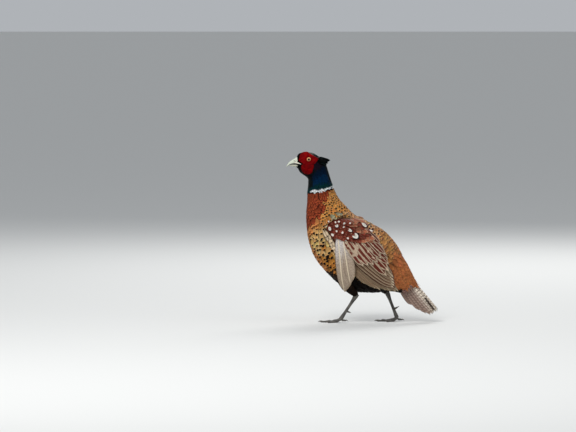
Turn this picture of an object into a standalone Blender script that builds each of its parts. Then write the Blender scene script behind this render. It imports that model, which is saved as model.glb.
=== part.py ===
"""Common pheasant, an adult cock, life size, standing in mid stride.

The bird faces -X, its left side is -Y and +Z is up. The neck is upright, the body
slopes down to the rear, the wings droop and the tail is short and worn. The solids
stand on the undersides of the toes, and the origin is at the middle of the bounding
box's bottom. All sizes are in millimetres and are turned into metres as the meshes
are made.
"""

import math
from collections import namedtuple

import bmesh
import bpy
from mathutils import Matrix, Vector

MM = 0.001
GAP = 0.3
LEFT = -1
RIGHT = 1

# A slice of the body: its highest and lowest point (x, z) in the bird's middle plane
# and half its width.
Section = namedtuple("Section", "dorsal ventral half_width")

# From the head's lower edge, down the neck and along the trunk to the tail's root.
BODY = [
    Section((-75.8, 348.8), (-117.0, 317.2), 19.0),
    Section((-70.2, 333.0), (-116.6, 309.4), 20.5),
    Section((-65.7, 317.2), (-117.0, 299.2), 22.0),
    Section((-60.8, 301.5), (-117.7, 289.1), 24.0),
    Section((-55.6, 289.1), (-118.4, 277.9), 26.5),
    Section((-45.0, 271.1), (-119.9, 261.0), 32.0),
    Section((-30.4, 255.4), (-121.5, 238.5), 40.0),
    Section((-12.4, 237.4), (-120.8, 211.5), 48.5),
    Section((7.9, 226.6), (-114.8, 173.2), 56.0),
    Section((32.6, 214.4), (-100.1, 137.2), 60.5),
    Section((58.5, 198.0), (-77.6, 109.1), 60.5),
    Section((81.0, 173.2), (-52.9, 85.5), 56.0),
    Section((97.4, 145.1), (-24.8, 67.5), 48.0),
    Section((111.4, 118.1), (20.3, 62.5), 37.5),
    Section((122.6, 94.5), (65.3, 65.7), 26.5),
    Section((131.6, 77.6), (91.0, 61.9), 17.0),
]
# Where along those slices each piece starts and ends, in how many steps.
NECK_SPAN = (0.0, 4.0, 6)
TRUNK_SPAN = (4.0, 12.6, 18)
RUMP_SPAN = (12.6, 15.0, 5)
NECK_SIDES = 24
BODY_SIDES = 28
# How far a body ring's widest part sinks, as a share of its half depth.
DROOP = 0.1

HEAD = [
    Section((-141.8, 368.8), (-140.4, 345.2), 6.5),
    Section((-136.9, 375.2), (-138.1, 338.6), 9.5),
    Section((-129.4, 377.3), (-134.3, 332.1), 12.3),
    Section((-120.4, 378.4), (-128.2, 327.2), 14.2),
    Section((-109.1, 377.1), (-122.6, 323.6), 15.6),
    Section((-97.9, 372.2), (-119.2, 320.8), 16.8),
    Section((-86.6, 363.2), (-117.4, 318.8), 18.0),
    Section((-75.8, 348.8), (-117.0, 317.2), 19.0),
]

HEAD_SPAN = (0.0, 7.0, 12)
FACE_SPAN = (0.6, 6.6, 17)
HEAD_SIDES = 24
FACE_SIDES = 32

UPPER_BILL = [
    Section((-134.3, 369.0), (-132.1, 351.7), 6.8),
    Section((-141.1, 367.2), (-138.4, 351.9), 6.4),
    Section((-147.4, 363.6), (-145.1, 351.7), 5.4),
    Section((-154.1, 359.3), (-151.2, 351.0), 4.3),
    Section((-159.3, 355.3), (-156.6, 349.9), 3.0),
    Section((-163.1, 350.1), (-161.1, 347.6), 1.6),
    Section((-165.6, 345.4), (-164.9, 344.4), 0.6),
]
UPPER_BILL_SPAN = (0.0, 6.0, 12)
LOWER_BILL = [
    Section((-132.1, 351.2), (-133.9, 344.5), 6.4),
    Section((-140.6, 351.4), (-141.8, 344.7), 5.4),
    Section((-148.5, 351.0), (-149.9, 345.6), 4.1),
    Section((-154.6, 350.0), (-155.7, 346.5), 2.7),
    Section((-158.2, 348.9), (-158.7, 347.3), 1.2),
]
LOWER_BILL_SPAN = (0.0, 4.0, 8)
BILL_SIDES = 16
NOSTRIL = (-147.4, 359.6)
NOSTRIL_SIZE = (2.4, 1.6, 1.0)
NOSTRIL_OFF_AXIS = 4.9
NOSTRIL_TURN = -32.0

EYE_CENTRE = (-115.0, 362.0)
EYE_RADIUS = 5.8
EYE_OFF_AXIS = 11.2
LID_RADIUS = 5.4
LID_THICKNESS = 0.9
LID_OUT = 2.9

# The bare red face: three rounded lobes seen from the side, as centre, half sizes and
# turn in degrees, round the eye, on the cheek and behind the eye.
FACE_LOBES = [
    ((-121.0, 363.8), (16.8, 15.0), 0.0),
    ((-117.2, 342.8), (14.6, 16.6), -8.0),
    ((-107.2, 361.8), (13.0, 8.4), 12.0),
]
FACE_DEPTH = 4.6
# Each lobe starts a little further out than the last, so that no two end caps meet.
FACE_LOBE_STEP = 0.4
FACE_SWELL = 1.8
FACE_FOLD = 0.6
FACE_RIPPLE = 0.95
FACE_BLOCK_REACH = 40.0

TUFT_ROOT = (-93.0, 360.5)
TUFT_VANES = 4
# From the tuft's highest vane to its lowest: length, height over its root and slope.
TUFT_LENGTHS = (23.0, 18.5)
TUFT_HEIGHTS = (5.0, -3.0)
TUFT_SLOPES = (-17.0, -25.0)
TUFT_HALF_WIDTH = 4.2
TUFT_DEPTH = 4.0
TUFT_FLESH = (9.0, 6.2, 8.0)
TUFT_OFF_AXIS = (12.0, 14.5)
TUFT_SPLAY = 0.16
TUFT_TILT = 0.8

# The flank that the folded wing lies on: a long, flattened dome.
FLANK_CENTRE = (-18.0, 160.0)
FLANK_SLOPE = -44.4
FLANK_FRONT = 128.0
FLANK_REAR = 178.0
# How far it reaches over its middle line and under it.
FLANK_RISE = 70.0
FLANK_DROP = 88.0
FLANK_HALF_WIDTH = 65.5
FLANK_MAX_EDGE = 0.93

# The tail: the line of its ridge, its slope and the round of its roof.
TAIL_START = (97.9, 117.5)
TAIL_SLOPE = -49.4
ROOF_RADIUS = 20.0
# How much shorter the right feather of a pair is, as worn.
TAIL_UNEVEN = 1.5
# How far down that line each pair of tail feathers reaches, from the middle pair out.
TAIL_REACH = (124.0, 125.5, 123.0, 124.0, 119.0, 104.0, 76.0)
TAIL_ROOT = 30.0
TAIL_ROOT_SPREAD = (2.0, 44.0)
TAIL_TIP_SPREAD = (4.0, 50.0)
TAIL_FEATHER_HALF_WIDTH = 9.0
# The middle feathers lie on top, and each further one lies a layer lower.
TAIL_LIFT = -1.0
TAIL_LAYER = 0.75
# The flesh that the tail feathers grow from: distance down the ridge and share of size.
TAIL_FLESH = ((30.0, 1.0), (52.0, 0.9), (66.0, 0.62), (80.0, 0.18))
TAIL_FLESH_HALF = (13.5, 15.5)
TAIL_FLESH_DROP = 17.0
# The rufous feathers over the tail's root, from the middle pair out.
COVERT_PAIRS = 4
COVERT_ROOT = 26.0
COVERT_REACH = (68.0, 56.0)
COVERT_SPREAD = (5.0, 38.0)
COVERT_HALF_WIDTH = 9.0
COVERT_LIFT = 3.0
COVERT_LAYER = 1.0

# A tier of a folded wing's feathers, seen from the side. roots and tips are curves
# (start, middle, end), lifts the height over the flank at the root and the tip, tilt
# how much each feather's upper edge lies under the next, bow how far it swings aside.
Tier = namedtuple("Tier", "count roots tips half_widths lifts tilt bow")
WING_TIERS = [
    # primaries
    Tier(6, ((-38, 143), (-26, 146), (-20, 156)), ((18, 80), (76, 60), (84, 66)),
         (8.5, 10.5), (0.8, 1.0), -1.25, 0.0),
    # secondaries
    Tier(5, ((-32, 164), (-18, 168), (-8, 180)), ((79, 76), (76, 92), (68, 102)),
         (12.0, 12.0), (3.0, 4.0), -1.25, 0.0),
    # tertials
    Tier(4, ((-10, 186), (4, 192), (12, 202)), ((67, 112), (62, 136), (38, 168)),
         (11.0, 9.0), (4.5, 7.0), -1.25, 0.0),
    # greater coverts
    Tier(4, ((-46, 182), (-20, 188), (-2, 200)), ((-10, 142), (26, 136), (44, 152)),
         (12.0, 12.0), (6.4, 9.6), -1.25, 0.0),
    # the two pale feathers that hang at the wing's front
    Tier(2, ((-68, 190), (-62, 190), (-50, 184)), ((-38, 80), (-32, 74), (-29, 72)),
         (12.0, 16.0), (2.6, 5.6), -1.0, 4.0),
    # scapulars
    Tier(4, ((-42, 208), (-20, 212), (2, 216)), ((-14, 178), (14, 176), (34, 188)),
         (12.0, 11.0), (1.5, 11.0), -1.25, 0.0),
]
# The flesh of the arm and the hand under those feathers, as lenses on the flank.
Lens = namedtuple("Lens", "centre half_long half_high turn depth height")
ARM = Lens((-28.0, 192.0), 66.0, 38.0, -22.0, 14.0, 8.0)
HAND = Lens((-34.0, 156.0), 46.0, 20.0, -44.0, 10.0, 3.2)

# A leg: hip, knee, ankle and the joint over the toes, each (x, y, z), with the toes' turn.
Leg = namedtuple("Leg", "side hip knee ankle ball turn")
LEGS = [
    Leg(LEFT, hip=(-32.0, -32.0, 122.0), knee=(-46.0, -34.0, 92.0),
        ankle=(-8.0, -22.0, 57.0), ball=(-43.0, -15.0, 3.0), turn=4.0),
    Leg(RIGHT, hip=(22.0, 30.0, 120.0), knee=(30.0, 34.0, 88.0),
        ankle=(62.0, 25.0, 60.0), ball=(84.0, 16.0, 3.5), turn=-8.0),
]
THIGH_RADIUS = 24.0
ANKLE_RADIUS = 5.8
THIGH_TAPER = 1.1
THIGH_RINGS = 8
SHANK_RADII = (5.2, 5.4, 4.1, 3.5, 3.3, 3.3, 3.5, 4.2, 4.6)
FOOT_PAD_RADIUS = 5.2
# A toe's turn from straight ahead towards the bird's outer side, length and radius.
Toe = namedtuple("Toe", "name turn length radius")
TOES = [
    Toe("middle", 4.0, 44.0, 3.3),
    Toe("inner", -34.0, 31.0, 3.0),
    Toe("outer", 38.0, 34.0, 3.0),
    Toe("hind", 196.0, 12.0, 2.4),
]
GROUND = -5.0
CLAW_LENGTH = 8.5
HIND_CLAW_SHARE = 0.7
# A claw's radius at its root and tip, as shares of the toe's, and how much it arches.
CLAW_TAPER = (0.86, 0.14)
CLAW_ARCH = (0.2, 0.45)
CLAW_DROP = 0.8
CLAW_OVERLAP = 1.0
SPUR_LENGTH = 12.0
SPUR_RADII = (2.4, 1.8, 1.1, 0.35)
SPUR_SHARES = (0.0, 0.35, 0.7, 1.0)
SPUR_PLACE = 0.66
SPUR_INWARD = 0.5
SPUR_RISE = 1.5
TOE_JOINT_SWELL = 0.1
# How high a toe's middle lies over the floor, as a share of its radius.
TOE_PRESS = 0.8
HIND_TOE_LIFT = 3.0
SMOOTH_ANGLE = 35.0


def clear_scene():
    for old in list(bpy.data.objects):
        bpy.data.objects.remove(old)


def new_collection(name):
    made = bpy.data.collections.new(name)
    bpy.context.scene.collection.children.link(made)
    return made


def make_material(name, colour, roughness):
    material = bpy.data.materials.new(name)
    material.use_nodes = True
    shader = material.node_tree.nodes["Principled BSDF"]
    shader.inputs["Base Color"].default_value = (*colour, 1.0)
    shader.inputs["Roughness"].default_value = roughness
    shader.inputs["Metallic"].default_value = 0.0
    return material


clear_scene()
PARTS = new_collection("pheasant")
WORK = new_collection("work")
MATERIALS = {
    name: make_material(name, colour, roughness)
    for name, colour, roughness in (
        ("neck", (0.01, 0.03, 0.06), 0.4),
        ("breast", (0.45, 0.16, 0.05), 0.7),
        ("rump", (0.36, 0.11, 0.04), 0.7),
        ("wing", (0.34, 0.24, 0.18), 0.7),
        ("tail", (0.45, 0.36, 0.27), 0.7),
        ("thigh", (0.05, 0.03, 0.02), 0.8),
        ("face", (0.45, 0.01, 0.01), 0.5),
        ("eye", (0.75, 0.35, 0.12), 0.1),
        ("bill", (0.75, 0.74, 0.66), 0.45),
        ("leg", (0.33, 0.3, 0.28), 0.55),
        ("claw", (0.12, 0.1, 0.09), 0.45),
    )
}


def new_object(name, shape):
    """Turns a bmesh into a working object with outward faces."""
    bmesh.ops.recalc_face_normals(shape, faces=shape.faces)
    mesh = bpy.data.meshes.new(name)
    shape.to_mesh(mesh)
    shape.free()
    made = bpy.data.objects.new(name, mesh)
    WORK.objects.link(made)
    return made


def adopt(made, name, material):
    """Makes a working object one of the bird's named pieces."""
    made.name = name
    made.data.name = name
    made.data.materials.append(MATERIALS[material])
    WORK.objects.unlink(made)
    PARTS.objects.link(made)
    return made


def sided(name, side):
    return f"{name}_left" if side == LEFT else f"{name}_right"


def mix(a, b, t):
    return a + (b - a) * t


def mix_points(a, b, t):
    return tuple(mix(p, q, t) for p, q in zip(a, b))


def bend(start, middle, end, t):
    """A point on the quadratic curve from start to end that leans towards middle."""
    return mix_points(mix_points(start, middle, t), mix_points(middle, end, t), t)


def smooth_value(values, t):
    """Catmull-Rom through evenly spaced values; t counts in steps of one value."""
    last = len(values) - 1
    i = min(max(int(math.floor(t)), 0), last - 1)
    f = t - i
    p1, p2 = values[i], values[i + 1]
    p0 = values[i - 1] if i > 0 else 2 * p1 - p2
    p3 = values[i + 2] if i + 2 <= last else 2 * p2 - p1
    return 0.5 * (
        2 * p1
        + (p2 - p0) * f
        + (2 * p0 - 5 * p1 + 4 * p2 - p3) * f * f
        + (3 * p1 - p0 - 3 * p2 + p3) * f**3
    )


def section_at(sections, t):
    rows = [(*s.dorsal, *s.ventral, s.half_width) for s in sections]
    dx, dz, vx, vz, width = (smooth_value(column, t) for column in zip(*rows))
    return Section((dx, dz), (vx, vz), width)


def ring_points(section, sides, grow, forward):
    """Points round a section, widest a little below its middle."""
    top = Vector((section.dorsal[0], 0, section.dorsal[1]))
    bottom = Vector((section.ventral[0], 0, section.ventral[1]))
    centre = (top + bottom) / 2
    half = (top - bottom) / 2
    up = half.normalized()
    ahead = Vector((up.z, 0, -up.x)) * forward
    depth = half.length + grow
    width = section.half_width + grow
    points = []
    for k in range(sides):
        angle = 2 * math.pi * k / sides
        rise = depth * (math.cos(angle) - DROOP * math.sin(angle) ** 2)
        points.append(centre + ahead + up * rise + Vector((0, width * math.sin(angle), 0)))
    return points


def skin_rings(shape, rings, closed_ends=True):
    """Joins rings of points into one closed skin of a bmesh."""
    loops = [[shape.verts.new(p * MM) for p in ring] for ring in rings]
    for near, far in zip(loops, loops[1:]):
        count = len(near)
        for k in range(count):
            n = (k + 1) % count
            shape.faces.new((near[k], near[n], far[n], far[k]))
    if closed_ends:
        shape.faces.new(loops[0])
        shape.faces.new(loops[-1])


def stations(*spans):
    """The places along the slices of one or more spans that follow on each other."""
    places = [spans[0][0]]
    for start, end, steps in spans:
        places += [mix(start, end, i / steps) for i in range(1, steps + 1)]
    return places


def loft_sections(name, sections, places, sides, grow=0.0, trim=(0.0, 0.0)):
    """A closed body through the sections. trim pushes each end along the body in mm."""
    rings = []
    for i, t in enumerate(places):
        forward = trim[0] if i == 0 else trim[1] if i == len(places) - 1 else 0.0
        rings.append(ring_points(section_at(sections, t), sides, grow, forward))
    shape = bmesh.new()
    skin_rings(shape, rings)
    return new_object(name, shape)


def tube(name, points, radii, sides, flat_at=None, flatten=1.0):
    """A round or oval tube through 3D points, cut level at the height flat_at."""
    rings = []
    points = [Vector(p) for p in points]
    for i, point in enumerate(points):
        ahead = points[min(i + 1, len(points) - 1)] - points[max(i - 1, 0)]
        ahead.normalize()
        side = (Vector((0, 1, 0)) - ahead * ahead.y).normalized()
        up = side.cross(ahead).normalized()
        ring = []
        for k in range(sides):
            angle = 2 * math.pi * (k + 0.5) / sides
            p = point + side * radii[i] * math.cos(angle) + up * radii[i] * flatten * math.sin(angle)
            if flat_at is not None:
                p.z = max(p.z, flat_at)
            ring.append(p)
        rings.append(ring)
    shape = bmesh.new()
    skin_rings(shape, rings)
    return new_object(name, shape)


def bake_modifiers(made):
    """Replaces an object's mesh by what its modifiers make of it."""
    graph = bpy.context.evaluated_depsgraph_get()
    mesh = bpy.data.meshes.new_from_object(made.evaluated_get(graph))
    made.modifiers.clear()
    made.data = mesh


def keep_largest_shell(made):
    """Drops every closed surface but the one with the largest box."""
    shape = bmesh.new()
    shape.from_mesh(made.data)
    shells = []
    left = set(shape.verts)
    while left:
        shell = {left.pop()}
        edge = list(shell)
        while edge:
            for link in edge.pop().link_edges:
                for vert in link.verts:
                    if vert in left:
                        left.discard(vert)
                        shell.add(vert)
                        edge.append(vert)
        spans = [max(v.co[i] for v in shell) - min(v.co[i] for v in shell) for i in range(3)]
        shells.append((sum(spans), shell))
    shells.sort(key=lambda item: item[0])
    for _, shell in shells[:-1]:
        bmesh.ops.delete(shape, geom=list(shell), context="VERTS")
    shape.to_mesh(made.data)
    shape.free()


def boolean(made, others, operation, solver="EXACT"):
    """Joins, cuts or crosses an object with others, which are then removed."""
    group = bpy.data.collections.new("operands")
    for other in others:
        group.objects.link(other)
    modifier = made.modifiers.new("boolean", "BOOLEAN")
    modifier.operation = operation
    modifier.solver = solver
    modifier.operand_type = "COLLECTION"
    modifier.collection = group
    bpy.context.view_layer.update()
    bake_modifiers(made)
    for other in others:
        bpy.data.objects.remove(other)
    bpy.data.collections.remove(group)
    keep_largest_shell(made)


class Flank:
    """The dome under a folded wing. point() lifts a place seen from the side onto it."""

    def __init__(self, side):
        self.side = side
        slope = math.radians(FLANK_SLOPE)
        self.along = Vector((math.cos(slope), math.sin(slope)))
        self.across = Vector((-math.sin(slope), math.cos(slope)))

    def point(self, place, lift):
        offset = Vector(place) - Vector(FLANK_CENTRE)
        u = offset.dot(self.along)
        v = offset.dot(self.across)
        length = FLANK_REAR if u > 0 else FLANK_FRONT
        height = FLANK_RISE if v > 0 else FLANK_DROP
        edge = (u / length) ** 2 + (v / height) ** 2
        out = FLANK_HALF_WIDTH * math.sqrt(1 - min(edge, FLANK_MAX_EDGE))
        lean = self.along * (u / length**2) + self.across * (v / height**2)
        normal = Vector((lean.x, self.side * out / FLANK_HALF_WIDTH**2, lean.y)).normalized()
        return Vector((place[0], self.side * out, place[1])) + normal * lift


class Roof:
    """The tail's round ridge. A place is (distance down the tail, distance round it)."""

    def __init__(self):
        slope = math.radians(TAIL_SLOPE)
        self.along = Vector((math.cos(slope), 0, math.sin(slope)))
        self.up = Vector((-math.sin(slope), 0, math.cos(slope)))
        self.start = Vector((TAIL_START[0], 0, TAIL_START[1]))

    def point(self, place, lift):
        down, round_ = place
        turn = max(-math.pi / 2, min(math.pi / 2, round_ / ROOF_RADIUS))
        rest = abs(round_) - abs(turn) * ROOF_RADIUS
        out = (ROOF_RADIUS + lift) * math.sin(turn)
        rise = (ROOF_RADIUS + lift) * math.cos(turn) - ROOF_RADIUS - rest
        return self.start + self.along * down + self.up * rise + Vector((0, out, 0))


class Plane:
    """A flat or slightly cupped patch for a free tuft."""

    def __init__(self, origin, along, across):
        self.origin = Vector(origin)
        self.along = Vector(along).normalized()
        self.normal = self.along.cross(Vector(across)).normalized()
        self.across = self.normal.cross(self.along).normalized()

    def point(self, place, lift):
        return self.origin + self.along * place[0] + self.across * place[1] + self.normal * lift


# How wide a vane is along its length, as a share of its greatest half width.
VANE_SHAPE = ((0.0, 0.45), (0.4, 0.96), (0.8, 0.84), (1.0, 0.24))
VANE_MIDDLE = 1.2
VANE_EDGE = 0.6
VANE_TIP_SHARE = 0.75


def vane(surface, root, tip, half_width, lifts, tilt=0.0, bow=0.0):
    """One feather laid on a surface, as a closed blade with a raised middle.

    lifts are its heights at the root and tip, tilt how much one edge stands over the
    other, bow how far its middle swings aside.
    """
    shape = bmesh.new()
    root, tip = Vector(root), Vector(tip)
    along = (tip - root).normalized()
    across = Vector((-along.y, along.x))
    rows = []
    for v, share in VANE_SHAPE:
        middle = root.lerp(tip, v) + across * bow * 4 * v * (1 - v)
        thin = mix(1.0, VANE_TIP_SHARE, v)
        upper, lower = [], []
        for u in (-1, 0, 1):
            place = middle + across * u * half_width * share
            half = (VANE_MIDDLE if u == 0 else VANE_EDGE) / 2 * thin
            level = mix(*lifts, v) + tilt * u
            upper.append(shape.verts.new(surface.point(place, level + half) * MM))
            lower.append(shape.verts.new(surface.point(place, level - half) * MM))
        rows.append((upper, lower))
    for (up0, low0), (up1, low1) in zip(rows, rows[1:]):
        for k in (0, 1):
            shape.faces.new((up0[k], up0[k + 1], up1[k + 1]))
            shape.faces.new((up0[k], up1[k + 1], up1[k]))
            shape.faces.new((low0[k], low1[k + 1], low0[k + 1]))
            shape.faces.new((low0[k], low1[k], low1[k + 1]))
        for k in (0, 2):
            shape.faces.new((up0[k], up1[k], low1[k]))
            shape.faces.new((up0[k], low1[k], low0[k]))
    for upper, lower in (rows[0], rows[-1]):
        for k in (0, 1):
            shape.faces.new((upper[k], upper[k + 1], lower[k + 1]))
            shape.faces.new((upper[k], lower[k + 1], lower[k]))
    return new_object("vane", shape)


def tier_vanes(surface, tier):
    """The feathers of one tier, spread from the first root and tip to the last."""
    made = []
    for i in range(tier.count):
        t = i / (tier.count - 1)
        made.append(vane(surface, bend(*tier.roots, t), bend(*tier.tips, t),
                         mix(*tier.half_widths, t), tier.lifts, tier.tilt, tier.bow))
    return made


def lens_on(surface, lens, rings=3, sides=16):
    """A closed lens on a surface, with its depth below it and its height above it."""
    shape = bmesh.new()
    turn = math.radians(lens.turn)
    long_way = Vector((math.cos(turn), math.sin(turn))) * lens.half_long
    high_way = Vector((-math.sin(turn), math.cos(turn))) * lens.half_high

    def loop_at(share, thick):
        loop = []
        for k in range(sides):
            angle = 2 * math.pi * k / sides
            place = (Vector(lens.centre)
                     + (long_way * math.cos(angle) + high_way * math.sin(angle)) * share)
            lift = thick * math.sqrt(max(0.0, 1 - share**2))
            loop.append(shape.verts.new(surface.point(place, lift) * MM))
        return loop

    rim = loop_at(1.0, 0.0)
    for thick in (lens.height, -lens.depth):
        rows = [loop_at(r / rings, thick) for r in range(1, rings)] + [rim]
        top = shape.verts.new(surface.point(lens.centre, thick) * MM)
        for k in range(sides):
            n = (k + 1) % sides
            shape.faces.new((top, rows[0][k], rows[0][n]))
            for near, far in zip(rows, rows[1:]):
                shape.faces.new((near[k], far[k], far[n], near[n]))
    return new_object("lens", shape)


def ball(name, centre, radii, turn=0.0, segments=16, rings=10):
    """A ball or egg with three radii, turned about the side axis in degrees."""
    shape = bmesh.new()
    size = Matrix.Diagonal((*(r * MM for r in radii), 1))
    lean = Matrix.Rotation(math.radians(turn), 4, "Y")
    bmesh.ops.create_uvsphere(shape, u_segments=segments, v_segments=rings, radius=1,
                              matrix=Matrix.Translation(Vector(centre) * MM) @ lean @ size)
    return new_object(name, shape)


def grown_trunk():
    """The trunk and rump a gap larger all round, to cut what grows from them."""
    places = stations(TRUNK_SPAN, RUMP_SPAN)
    return loft_sections("trunk_cut", BODY, places, BODY_SIDES, GAP, (0, GAP))


def grown_head():
    return loft_sections("head_cut", HEAD, stations(HEAD_SPAN), HEAD_SIDES, GAP, (-GAP, 0))


def grown_neck():
    return loft_sections("neck_cut", BODY, stations(NECK_SPAN), NECK_SIDES, GAP, (-4, 0))


def grown_upper_bill():
    return loft_sections("bill_cut", UPPER_BILL, stations(UPPER_BILL_SPAN), BILL_SIDES, GAP,
                         (0, GAP))


def make_torso():
    torso = loft_sections("torso", BODY, stations(TRUNK_SPAN), BODY_SIDES, trim=(GAP / 2, -GAP / 2))
    adopt(torso, "torso", "breast")


def make_neck():
    neck = loft_sections("neck", BODY, stations(NECK_SPAN), NECK_SIDES, trim=(GAP / 2, -GAP / 2))
    adopt(neck, "neck", "neck")


def face_prism(side, grow=0.0):
    """The red face's outline, as one block from near the middle plane to well outside."""
    blocks = []
    for i, (centre, half, turn) in enumerate(FACE_LOBES):
        inner = FACE_DEPTH - grow + FACE_LOBE_STEP * i
        outer = FACE_BLOCK_REACH + i
        shape = bmesh.new()
        bmesh.ops.create_cone(shape, cap_ends=True, segments=20, radius1=1, radius2=1,
                              depth=(outer - inner) * MM)
        stretch = Matrix.Diagonal(((half[0] + grow) * MM, (half[1] + grow) * MM, 1, 1))
        stand = Matrix.Rotation(math.radians(90), 4, "X")
        lean = Matrix.Rotation(math.radians(-turn), 4, "Y")
        middle = Vector((centre[0], side * (outer + inner) / 2, centre[1])) * MM
        shape.transform(Matrix.Translation(middle) @ lean @ stand @ stretch)
        blocks.append(new_object("lobe", shape))
    boolean(blocks[0], blocks[1:], "UNION")
    return blocks[0]


def eye_centre(side):
    return (EYE_CENTRE[0], side * EYE_OFF_AXIS, EYE_CENTRE[1])


def make_head():
    """The feathered head, with a pocket on each side for the bare red face."""
    head = loft_sections("head", HEAD, stations(HEAD_SPAN), HEAD_SIDES, trim=(0, -GAP / 2))
    boolean(head, [face_prism(side, GAP) for side in (LEFT, RIGHT)], "DIFFERENCE")
    adopt(head, "head", "neck")


def make_face(side):
    """The swollen, folded red skin of one side, with its eyelid ring and eye socket."""
    face = loft_sections("face", HEAD, stations(FACE_SPAN), FACE_SIDES, FACE_SWELL)
    middle = Vector(EYE_CENTRE)
    for vert in face.data.vertices:
        place = Vector((vert.co.x, vert.co.z)) / MM
        away = (place - middle).length
        ripple = math.sin(away * FACE_RIPPLE) * math.sin(place.x * 0.45 + place.y * 0.2)
        vert.co.y += math.copysign(FACE_FOLD * ripple * MM, vert.co.y)
    boolean(face, [face_prism(side)], "INTERSECT", "MANIFOLD")
    boolean(face, [eyelid(side)], "UNION", "MANIFOLD")
    socket = ball("socket", eye_centre(side), [EYE_RADIUS + GAP] * 3)
    boolean(face, [socket], "DIFFERENCE", "MANIFOLD")
    adopt(face, sided("wattle", side), "face")


def eyelid(side):
    """A ring round the eye, a little longer than high."""
    segments, around = 16, 6
    rings = []
    centre = Vector(eye_centre(side)) + Vector((0, side * LID_OUT, 0))
    for i in range(segments):
        turn = 2 * math.pi * i / segments
        out = Vector((math.cos(turn) * 1.04, 0, math.sin(turn) * 0.94))
        ring = []
        for k in range(around):
            angle = 2 * math.pi * k / around
            swell = LID_THICKNESS * math.cos(angle)
            rise = LID_THICKNESS * math.sin(angle)
            ring.append(centre + out * (LID_RADIUS + swell) + Vector((0, side * rise, 0)))
        rings.append(ring)
    rings.append(rings[0])
    shape = bmesh.new()
    skin_rings(shape, rings, closed_ends=False)
    bmesh.ops.remove_doubles(shape, verts=shape.verts, dist=0.01 * MM)
    return new_object("eyelid", shape)


def make_eye(side):
    eye = ball("eye", eye_centre(side), [EYE_RADIUS] * 3, segments=14, rings=9)
    adopt(eye, sided("eye", side), "eye")


def make_upper_bill():
    """The hooked upper half, with its nostrils, cut to the front of the head."""
    bill = loft_sections("bill", UPPER_BILL, stations(UPPER_BILL_SPAN), BILL_SIDES)
    pits = [ball("nostril", (NOSTRIL[0], side * NOSTRIL_OFF_AXIS, NOSTRIL[1]), NOSTRIL_SIZE,
                 NOSTRIL_TURN, 10, 6)
            for side in (LEFT, RIGHT)]
    boolean(bill, pits, "DIFFERENCE")
    boolean(bill, [grown_head()], "DIFFERENCE")
    adopt(bill, "bill_upper", "bill")


def make_lower_bill():
    bill = loft_sections("bill", LOWER_BILL, stations(LOWER_BILL_SPAN), BILL_SIDES)
    boolean(bill, [grown_upper_bill(), grown_head()], "DIFFERENCE")
    adopt(bill, "bill_lower", "bill")


def make_tuft(side):
    """The ear tuft: stiff little feathers that point back and up behind the eye."""
    middle = (TUFT_ROOT[0] - 1, side * TUFT_OFF_AXIS[0], TUFT_ROOT[1])
    tuft = ball("tuft", middle, TUFT_FLESH, segments=10, rings=7)
    vanes = []
    for i in range(TUFT_VANES):
        t = i / (TUFT_VANES - 1)
        drop = math.radians(mix(*TUFT_SLOPES, t))
        origin = (TUFT_ROOT[0] - 2 * t, side * mix(*TUFT_OFF_AXIS, t),
                  TUFT_ROOT[1] + mix(*TUFT_HEIGHTS, t))
        along = (math.cos(drop), side * TUFT_SPLAY, math.sin(drop))
        vanes.append(vane(Plane(origin, along, (0, 0, 1)), (-TUFT_DEPTH, 0),
                          (mix(*TUFT_LENGTHS, t), 0), TUFT_HALF_WIDTH, (0, 0),
                          -side * TUFT_TILT, TUFT_TILT))
    boolean(tuft, vanes, "UNION")
    boolean(tuft, [face_prism(side, GAP)], "DIFFERENCE")
    boolean(tuft, [grown_head(), grown_neck()], "DIFFERENCE")
    adopt(tuft, sided("ear_tuft", side), "neck")


def make_rump():
    """The rear of the body, with the long rufous coverts that cover the tail's root."""
    rump = loft_sections("rump", BODY, stations(RUMP_SPAN), BODY_SIDES, trim=(GAP / 2, 0))
    roof = Roof()
    vanes = []
    for i in range(COVERT_PAIRS):
        share = i / (COVERT_PAIRS - 1)
        around = mix(*COVERT_SPREAD, share)
        for side in (LEFT, RIGHT):
            lift = COVERT_LIFT - COVERT_LAYER * (i + (1 if side == LEFT else 0))
            vanes.append(vane(roof, (COVERT_ROOT, side * around * 0.8),
                              (mix(*COVERT_REACH, share), side * around),
                              COVERT_HALF_WIDTH, (lift, lift)))
    boolean(rump, vanes, "UNION")
    adopt(rump, "rump", "rump")


def make_tail():
    """The tail feathers, in pairs that overlap like a roof, worn short."""
    roof = Roof()
    rings = []
    for down, share in TAIL_FLESH:
        middle = roof.point((down, 0), -TAIL_FLESH_DROP)
        ring = []
        for k in range(14):
            angle = 2 * math.pi * k / 14
            ring.append(middle + roof.up * TAIL_FLESH_HALF[1] * share * math.cos(angle)
                        + Vector((0, TAIL_FLESH_HALF[0] * share * math.sin(angle), 0)))
        rings.append(ring)
    shape = bmesh.new()
    skin_rings(shape, rings)
    tail = new_object("tail_flesh", shape)
    vanes = []
    for i, reach in enumerate(TAIL_REACH):
        share = i / (len(TAIL_REACH) - 1)
        for side in (LEFT, RIGHT):
            layer = i + (1 if side == LEFT else 0)
            lift = TAIL_LIFT - TAIL_LAYER * layer
            root = (TAIL_ROOT, side * mix(*TAIL_ROOT_SPREAD, share))
            worn = TAIL_UNEVEN if side == RIGHT else 0.0
            tip = (reach - worn, side * mix(*TAIL_TIP_SPREAD, share))
            vanes.append(vane(roof, root, tip, TAIL_FEATHER_HALF_WIDTH, (lift, lift)))
    boolean(tail, vanes, "UNION")
    boolean(tail, [grown_trunk()], "DIFFERENCE")
    adopt(tail, "tail", "tail")


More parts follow.
